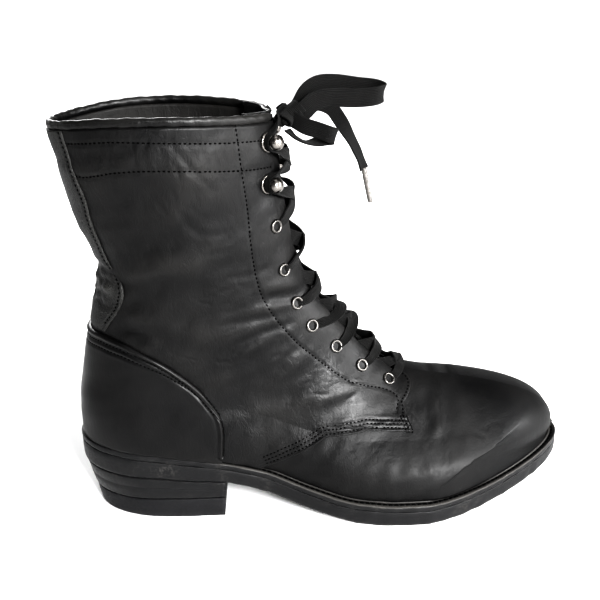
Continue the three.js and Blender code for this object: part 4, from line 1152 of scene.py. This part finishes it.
# %% Welt
ledge = [(WELT_IN, 0, 0), (1.2, 0, 0), (0.4, 0.12, 0), (0.08, 0.5, 0), (0, 0, 0.4), (0, 0, 0.75),
         (0.12, -0.45, 1), (0.4, -0.12, 1), (0.8, 0, 1), (1.4, 0.02, 1), (2.4, -0.05, 1),
         (3.2, -0.2, 1), (4.2, -0.25, 1), (WELT_IN, -0.2, 1)]
rings = [level(STATIONS, inset, lambda x, up=up, share=share: mix(seam(x), sole_top(x), share) + up
               - 0.12 * (share == 1)) for inset, up, share in ledge]
points, faces = loops_to_piece(rings, STATIONS, True)
points = worn_edge(points, 61)
share_up = (points[:, 2] - seam(points[:, 0])) / WELT_HEIGHT
x, centre, half = outline(STATIONS, 0.0)
across = np.abs(points[:, 1] - np.interp(points[:, 0], x, centre)) / np.maximum(
    np.interp(points[:, 0], x, half), 1)
# The mark pales the welt's upper outer edge from the waist forward: a painted highlight along that edge.
marks = 0.75 * smooth(0.72, 0.95, share_up) * smooth(0.93, 0.985, across) * smooth(70, 100, points[:, 0])
build("welt_piece", points, faces, sole_edge, "sole_edge", ["welt"], marks={"ridge": marks})


def loop_line(inset, height, x_from):
    """Line around the toe at an inset, from x_from on the outer side to the inner side."""
    x, centre, half = outline(1200, inset)
    keep = x > x_from
    outer = np.stack([x, centre - half, height(x)], -1)[keep]
    inner = np.stack([x, centre + half, height(x)], -1)[keep][::-1]
    return np.concatenate([outer, inner[1:]])


line = evenly(loop_line(2.7, lambda x: sole_top(x) - 0.15, 92), 3.4)
stitches.append(capsules(line, np.tile([0, 0, 1.0], (len(line), 1)), 2.6, 0.5, 0.0))

# %% Rand: the rolled cord of leather where the upper meets the welt
points, faces = round_rod(evenly(loop_line(4.6, lambda x: sole_top(x) + 0.3, 84), 1.6), 0.8, 10)
build("welt_rand", points, faces, sole_edge, "sole_edge",
      marks={"ridge": np.full(len(points), 0.45)})

# %% Insole and heel seat
rings = [level(120, inset, lambda x, up=up: seam(x) + up)
         for inset, up in ((12.1, 0.02), (12.1, 3.6), (12.4, 4.0), (13.2, 4.2))]
points, faces = loops_to_piece(rings, 120)
build("insole_piece", points, faces, insole_board, "insole_board", ["insole"])


# %% [markdown]
# ## Heel
# A stacked base on a rubber top lift: a D-shaped loop with a flat front, drawn in a little
# towards the floor at the back, with a groove between base and lift.

# %% Heel blocks
def heel_loop(stations, inset, share, height):
    """Closed loop of the heel block: share 0 at the floor, 1 under the outsole."""
    back, front = mix(8.2, 1.2, share) + inset, 86.0 - mix(1.2, 0, share) - inset
    x = back + (front - back) * np.linspace(0, 1, stations + 1) ** 1.8
    half = (sole_half(x) - mix(1.4, 0.6, share) - inset) * fill((x - back) / 44, 2)
    return x, sole_centre(x), half, height(x)


def heel_piece(rings):
    """Like the sole's stack, but with the flat front of the heel closed by its own column."""
    loops = []
    for x, c, h, z in rings:
        low, high = np.stack([x, c - h, z], -1), np.stack([x, c + h, z], -1)[1:]
        front = [mix(low[-1], high[-1], t) for t in (0.02, 0.35, 0.65, 0.98)]
        loops.append(np.concatenate([low, front, high[::-1]]))
    return np.concatenate(loops), tube_faces(len(rings), len(loops[0]))


HEEL_STATIONS = 70
lift_walls = [(1.0, 0, 0), (0.4, 0.01, 0.25), (0, 0.04, 0.9), (0, 0.15, 4),
              (0, 0.25, 7), (0, 0.36, 11.6), (0.35, 0.4, 12.3), (1.0, 0.42, 12.5)]
rings = [heel_loop(HEEL_STATIONS, i, s, lambda x, z=z: 0 * x + z) for i, s, z in lift_walls]
points, faces = heel_piece(rings)
points = worn_edge(points, 71, 0.12)
points[:, 2] = np.maximum(points[:, 2], 0)
build("top_lift_piece", points, faces, lift_rubber, "heel_rubber", ["heel_top_lift"],
      marks={"ridge": 0.35 * smooth(1.5, 0, points[:, 2])})
base_walls = [(1.3, 0.43, 12.95), (0.5, 0.44, 13.05), (0.05, 0.46, 13.6), (0, 0.5, 14.4)]
rings = [heel_loop(HEEL_STATIONS, i, s, lambda x, z=z: 0 * x + z) for i, s, z in base_walls]
for share, inset in ((0.25, 0.0), (0.45, 0.0), (0.485, 0.22), (0.52, 0.0), (0.75, 0), (0.93, 0), (0.99, 0.3)):
    rings.append(heel_loop(HEEL_STATIONS, inset, mix(0.5, 1, share), lambda x, share=share: mix(
        14.4, sole_under(x) - 0.12, share)))
points, faces = heel_piece(rings)
points = worn_edge(points, 81, 0.12)
build("heel_base_piece", points, faces, heel_stack, "sole_edge", ["heel_base"],
      marks={"ridge": 0.15 * smooth(15, 13, points[:, 2])})

# %% [markdown]
# ## Eyelets and speed hooks
# Seven round eyelets and two ball hooks a side. Each is turned: a profile spun about an
# axis, then set on the facing with that axis straight out of the leather.

# %% Turned metal
EYELETS = np.array([  # v, distance from the middle, 1 for a hook
    [0.39, 17.5, 0], [0.46, 19, 0], [0.52, 20, 0], [0.58, 21, 0], [0.64, 20.5, 0],
    [0.72, 20.5, 0], [0.81, 20.5, 0], [0.89, 21.5, 1], [0.965, 19.5, 1]])
eyelet_w = edge_share(EYELETS[:, 0], EYELETS[:, 1])


def turned(profile, sides):
    """A profile of radius and height spun about the z axis; a zero radius closes to a point."""
    profile = np.asarray(profile, float)
    around = np.linspace(0, 2 * np.pi, sides, endpoint=False)
    ring = np.stack([np.cos(around), np.sin(around), 0 * around], -1)
    return (profile[:, 0, None, None] * ring + profile[:, 1, None, None] * [0, 0, 1.0]).reshape(-1, 3)


def set_on(points, centre, out, heading=(0, 0, 1)):
    """Turn a piece so that its z axis points out and its x axis along the heading."""
    x = unit(np.asarray(heading, float) - np.dot(heading, out) * out)
    return centre + points @ np.stack([x, np.cross(out, x), out])


def joined(parts):
    """Several points-and-faces pairs as one."""
    shift, points, faces = 0, [], []
    for p, f in parts:
        points.append(p)
        faces += [[int(c) + shift for c in face] for face in f]
        shift += len(p)
    return np.concatenate(points), faces


flange = [(2.25, -1.4), (2.3, 0.2), (2.5, 0.72), (2.9, 0.98), (3.35, 0.98), (3.75, 0.7), (3.95, 0.25),
          (4.0, -0.2), (3.3, -0.3), (2.6, -1.4)]
washer = [(0.4, -0.4), (5.3, -0.4), (5.5, 0.1), (5.35, 0.55), (4.95, 0.85), (4.5, 0.8), (4.1, 0.45),
          (3.6, 0.3), (2.2, 0.35), (2.0, 0.8), (1.75, 2.0), (1.9, 3.0), (2.5, 3.4), (3.3, 3.9),
          (3.95, 4.7), (4.25, 5.7), (4.2, 6.7), (3.75, 7.8), (3.0, 8.6), (2.0, 9.2), (1.0, 9.5), (0.02, 9.6)]
TURNED_SIDES = 40
ringed, hooked = [], []
for (v, half, hook), w in zip(EYELETS, eyelet_w):
    for side, face, normals in ((w, outer_face, outer_out), (2 - w, inner_face, inner_out)):
        spot, _ = lay_on(skin(np.array([side]), np.array([v])), face, normals)
        out = skin_out(np.array([side]), np.array([v]))[0]
        profile, skinned, pile = ((washer, tube_faces, hooked) if hook
                                  else (flange, ring_faces, ringed))
        points = set_on(turned(profile, TURNED_SIDES), spot[0] + 0.15 * out, out)
        pile.append((points, skinned(len(profile), TURNED_SIDES)))
names = lambda kind, numbers: [f"{kind}_{k}_{side}" for k in numbers for side in ("outer", "inner")]
build("eyelets", *joined(ringed), eyelet_metal, "hardware", names("eyelet", range(1, 8)))
build("speed_hooks", *joined(hooked), gunmetal, "hardware", names("hook", (8, 9)))

# %% [markdown]
# ## Lacing
# The lace comes up through an eyelet, crosses the throat and goes under the other facing to
# the next eyelet. At the hooks it wraps behind the ball and goes back. Used lace is bunched
# to about two thirds of its flat width, with a little slack, so no two crossings are alike.


# %% Crossings
def crossing_rows(k, sign, sag, sideways_at):
    """Rows of a lace from eyelet k on one side to beneath eyelet k + 1 on the other: sign is 1
    from the outer side and -1 from the inner one. Heights are above the skin."""
    low_w, high_w = eyelet_w[k], eyelet_w[k + 1]
    low_v, high_v = EYELETS[k, 0], EYELETS[k + 1, 0]
    share = np.array([0.0, 0.03, 0.10, 0.22, 0.36, 0.5, 0.62, 0.72, 0.82, 1.0])
    lift = np.array([-1.6, 0.7, 1.5, 1.6, 1.8 + sag, 1.8 + sag, 0.7, -1.2, -2.6, -3.0])
    w = mix(low_w, 2 - high_w, share)
    v = mix(low_v, high_v, np.clip(share * 1.04 - 0.02, 0, 1)) + sideways_at * np.sin(np.pi * share)
    w = w if sign > 0 else 2 - w
    flat = unit(mix(skin_out(w, v), skin_out(np.clip(w, 0.9, 1.1), v), 0.6))
    at = skin(w, v) + lift[:, None] * flat
    across = unit(np.cross(flat, unit(np.gradient(at, axis=0))))
    return np.concatenate([at, across], -1)


laces = []
for k in range(6):
    for sign in (1, -1):
        sag = rng.uniform(0.0, 1.1) + (0.9 if sign > 0 else 0)
        rows = crossing_rows(k, sign, sag, rng.uniform(-0.008, 0.02))
        twist = rng.uniform(-0.85, 0.85)
        out = np.cross(unit(np.gradient(rows[:, :3], axis=0)), rows[:, 3:])
        bell = np.sin(np.pi * np.linspace(0, 1, len(rows)))[:, None] ** 2
        rows[:, 3:] = unit(rows[:, 3:] + twist * bell * out)
        laces.append(lace_along(rows, (3.6, 6.2, 8.0, 8.4, 7.6, 6.0), 1.3, waver=0.35,
                                cup=rng.uniform(-0.25, 0.25))[:3])


def round_hook(k, sign):
    """Points of the lace behind the ball of hook k: past it, round its stem and back."""
    w = eyelet_w[k] if sign > 0 else 2 - eyelet_w[k]
    spot, out = skin(w, EYELETS[k, 0]), skin_out(w, EYELETS[k, 0])
    up = unit(np.array([0, 0, 1.0]) - out[2] * out)
    away = unit(np.cross(up, out)) * (1 if sign > 0 else -1)
    away = away if (away[0] < 0) else -away
    rows = []
    for turn_by, reach in ((-1.9, 5.5), (-1.1, 3.9), (-0.4, 3.2), (0.4, 3.2), (1.1, 3.9), (1.9, 5.5)):
        at = spot + 2.3 * out + reach * (np.cos(turn_by) * away + np.sin(turn_by) * up)
        rows.append(np.concatenate([at, unit(out + 0.25 * (np.cos(turn_by) * away))]))
    return rows


def over_throat(start, end, lift, n=3):
    """Rows between two places of the chart, lifted off the throat."""
    rows = []
    for t in np.linspace(0, 1, n + 2)[1:-1]:
        w, v = mix(start[0], end[0], t), mix(start[1], end[1], t)
        flat = skin_out(np.clip(w, 0.92, 1.08), v)
        at = skin(w, v) + lift * flat
        heading = skin(end[0], end[1]) - skin(start[0], start[1])
        rows.append(np.concatenate([at, unit(np.cross(flat, heading))]))
    return rows


for sign in (1, -1):
    own = lambda w: w if sign > 0 else 2 - w
    rest = lambda w: 2 - w if sign > 0 else w
    low = crossing_rows(6, sign, 0.6, 0.0)[:5]
    first = list(low)
    first += over_throat((own(0.985), 0.853), (rest(0.9), 0.872), 3.4 + 0.8 * (sign > 0), 1)
    first += round_hook(7, -sign)
    first += over_throat((rest(0.9), 0.905), (own(0.9), 0.945), 3.2 + 0.9 * (sign > 0), 3)
    first += round_hook(8, sign)
    knot_in = [[122.5, -7 * sign, 231, 0.3, 0.2 * sign, 1], [127, -3.5 * sign, 235, 0.2, 0.6 * sign, 0.8],
               [130, 0, 236, 0, 1, 0.3]]
    first += [np.array(row, float) for row in knot_in]
    rows = np.array(first)
    for i in range(1, len(rows)):
        if np.dot(rows[i, 3:], rows[i - 1, 3:]) < 0:
            rows[i, 3:] *= -1
    laces.append(lace_along(rows, (3.6, 6.5, 7.5, 7.0, 5.0, 5.0, 7.5, 8.0, 5.5, 5.0, 8.0, 9.0), 1.3,
                            waver=0.2)[:3])


def build_laces(name, ribbons, replaced):
    """Several ribbons as one piece."""
    points, faces = joined([(p, f) for p, f, _ in ribbons])
    build(name, points, faces, lace_cotton, "lace_cotton", replaced,
          np.concatenate([uv for _, _, uv in ribbons]))


build_laces("lacing", laces, [f"lace_cross_{k}" for k in range(1, 9)])

# %% [markdown]
# ## Knot
# A bow's knot is the lace wrapped once round the base of both loops: a short fat ring of
# ribbon, with the two laces from the hooks tucked into it from below.

# %% Knot
def wrap_rows(centre, axis, radius, turns, lean, pitch, count=26):
    """A ring of ribbon about an axis, spiralling a little: the ribbon's width follows the axis."""
    axis = unit(np.asarray(axis, float))
    a = unit(np.cross(axis, [0.1, 0.3, 1.0]))
    b = np.cross(axis, a)
    t = np.linspace(0, 2 * np.pi * turns, count)
    r = radius * (1 + 0.12 * np.sin(2.3 * t + lean))[:, None]
    at = np.asarray(centre) + r * (np.cos(t + lean)[:, None] * a + np.sin(t + lean)[:, None] * b)
    at = at + (pitch * (t / t[-1] - 0.5))[:, None] * axis
    return np.concatenate([at, unit(axis + 0.25 * np.sin(t)[:, None] * a)], -1)


knot = [
    lace_along(wrap_rows([130.5, -0.5, 234.5], [0.75, 0.15, 0.6], 4.6, 1.15, 0.4, 3.0), 8.0, 1.5)[:3],
    lace_along(wrap_rows([126.5, -4.5, 232.0], [0.55, 0.6, 0.5], 3.6, 1.1, 2.0, 2.0), 7.0, 1.5)[:3],
    lace_along(wrap_rows([127.5, 4.0, 231.5], [0.5, -0.7, 0.4], 3.4, 1.1, 3.1, 2.0), 7.0, 1.5)[:3]]
core_points, core_faces = round_rod(
    mix(np.array([124.5, -6, 228.5]), np.array([133, 3, 237.5]), np.linspace(0, 1, 16)[:, None]),
    3.4 * np.sqrt(np.clip(1 - np.linspace(-0.98, 0.98, 16) ** 4, 0.05, 1)), 16)
knot.append((core_points, core_faces, np.stack([core_points[:, 1], core_points[:, 2]], -1)))
build_laces("bow_knot", knot, ["lace_knot"])

# %% [markdown]
# ## Thread
# All the stitches laid so far become one piece.

# %% Stitches
build("stitches", *joined(stitches), thread, "upper_leather")

# %% [markdown]
# ## Floor and light
# A plain pale floor rises into a round wall. Black leather shows its shape only by what it
# reflects: the key lamp stands before the boot on the toe's side, a tall one beyond the toe
# and a weak one overhead. Two lamps light the wall, behind the boot and before it, and one
# from behind keeps the inner side from going black.

# %% Floor
floor_material, tree, shader = surface("floor_paint", (0.85, 0.85, 0.85), 0.7)


def cove(radius, bend, wall, turns):
    """Round pale room: a flat disc, a quarter circle of radius `bend` at its rim, then a
    straight wall. Each ring is (r, z), turned about Z in equal steps."""
    quarter = np.linspace(0, np.pi / 2, 25)
    r = np.r_[0.02, radius - bend, radius - bend + bend * np.sin(quarter[1:]), radius]
    z = np.r_[0, 0, bend - bend * np.cos(quarter[1:]), wall]
    angle = np.linspace(0, 2 * np.pi, turns, endpoint=False)
    rings = np.stack([r[:, None] * np.cos(angle), r[:, None] * np.sin(angle),
                      z[:, None] + 0 * angle], 2)
    ring, turn = np.meshgrid(np.arange(len(r) - 1), np.arange(turns), indexing="ij")
    after = (turn + 1) % turns
    quads = np.stack([ring * turns + turn, ring * turns + after,
                      (ring + 1) * turns + after, (ring + 1) * turns + turn], 2)
    quads = quads.reshape(-1, 4)[:, ::-1]
    return rings.reshape(-1, 3), [*map(tuple, quads), tuple(range(turns))]


floor_mesh = bpy.data.meshes.new("floor")
points, faces = cove(3.2, 0.9, 1.3, 96)
floor_mesh.from_pydata(points.tolist(), [], [tuple(map(int, f)) for f in faces])
floor_mesh.materials.append(floor_material)
floor_mesh.shade_smooth()
floor = bpy.data.objects.new("floor", floor_mesh)
bpy.context.scene.collection.objects.link(floor)

# %% Lamps
def lamp(name, at, target, size, power):
    """A soft white lamp, size wide and high in metres, aimed at a point."""
    data = bpy.data.lights.new(name, "AREA")
    data.shape = "RECTANGLE"
    data.size, data.size_y = size
    data.energy = power
    made = bpy.data.objects.new(name, data)
    made.location = at
    made.rotation_euler = (Vector(target) - Vector(at)).to_track_quat("-Z", "Y").to_euler()
    bpy.context.scene.collection.objects.link(made)


lamp("key", (0.6, -1.2, 0.68), (0.12, 0, 0.1), (0.35, 0.35), 40)
lamp("side", (1.15, -0.4, 0.45), (0.12, 0, 0.1), (0.3, 0.6), 14)
lamp("backdrop", (0, 1.5, 1.8), (0, 2.8, 0.1), (1.6, 0.6), 24)
lamp("overhead", (0.1, -0.1, 1.7), (0.08, 0, 0), (0.8, 0.8), 4)
lamp("behind", (-0.35, 1.25, 0.75), (0.08, 0, 0.1), (0.6, 0.6), 13)
lamp("backdrop_front", (0, -1.7, 1.9), (0, -2.9, 0.1), (1.6, 0.6), 9)
world = bpy.data.worlds.new("room")
world.use_nodes = True
backdrop = world.node_tree.nodes["Background"]
backdrop.inputs["Color"].default_value = (1, 1, 1, 1)
backdrop.inputs["Strength"].default_value = 0.05
bpy.context.scene.world = world
bpy.context.scene.view_settings.view_transform = "Standard"
bpy.context.scene.view_settings.look = "Very High Contrast"
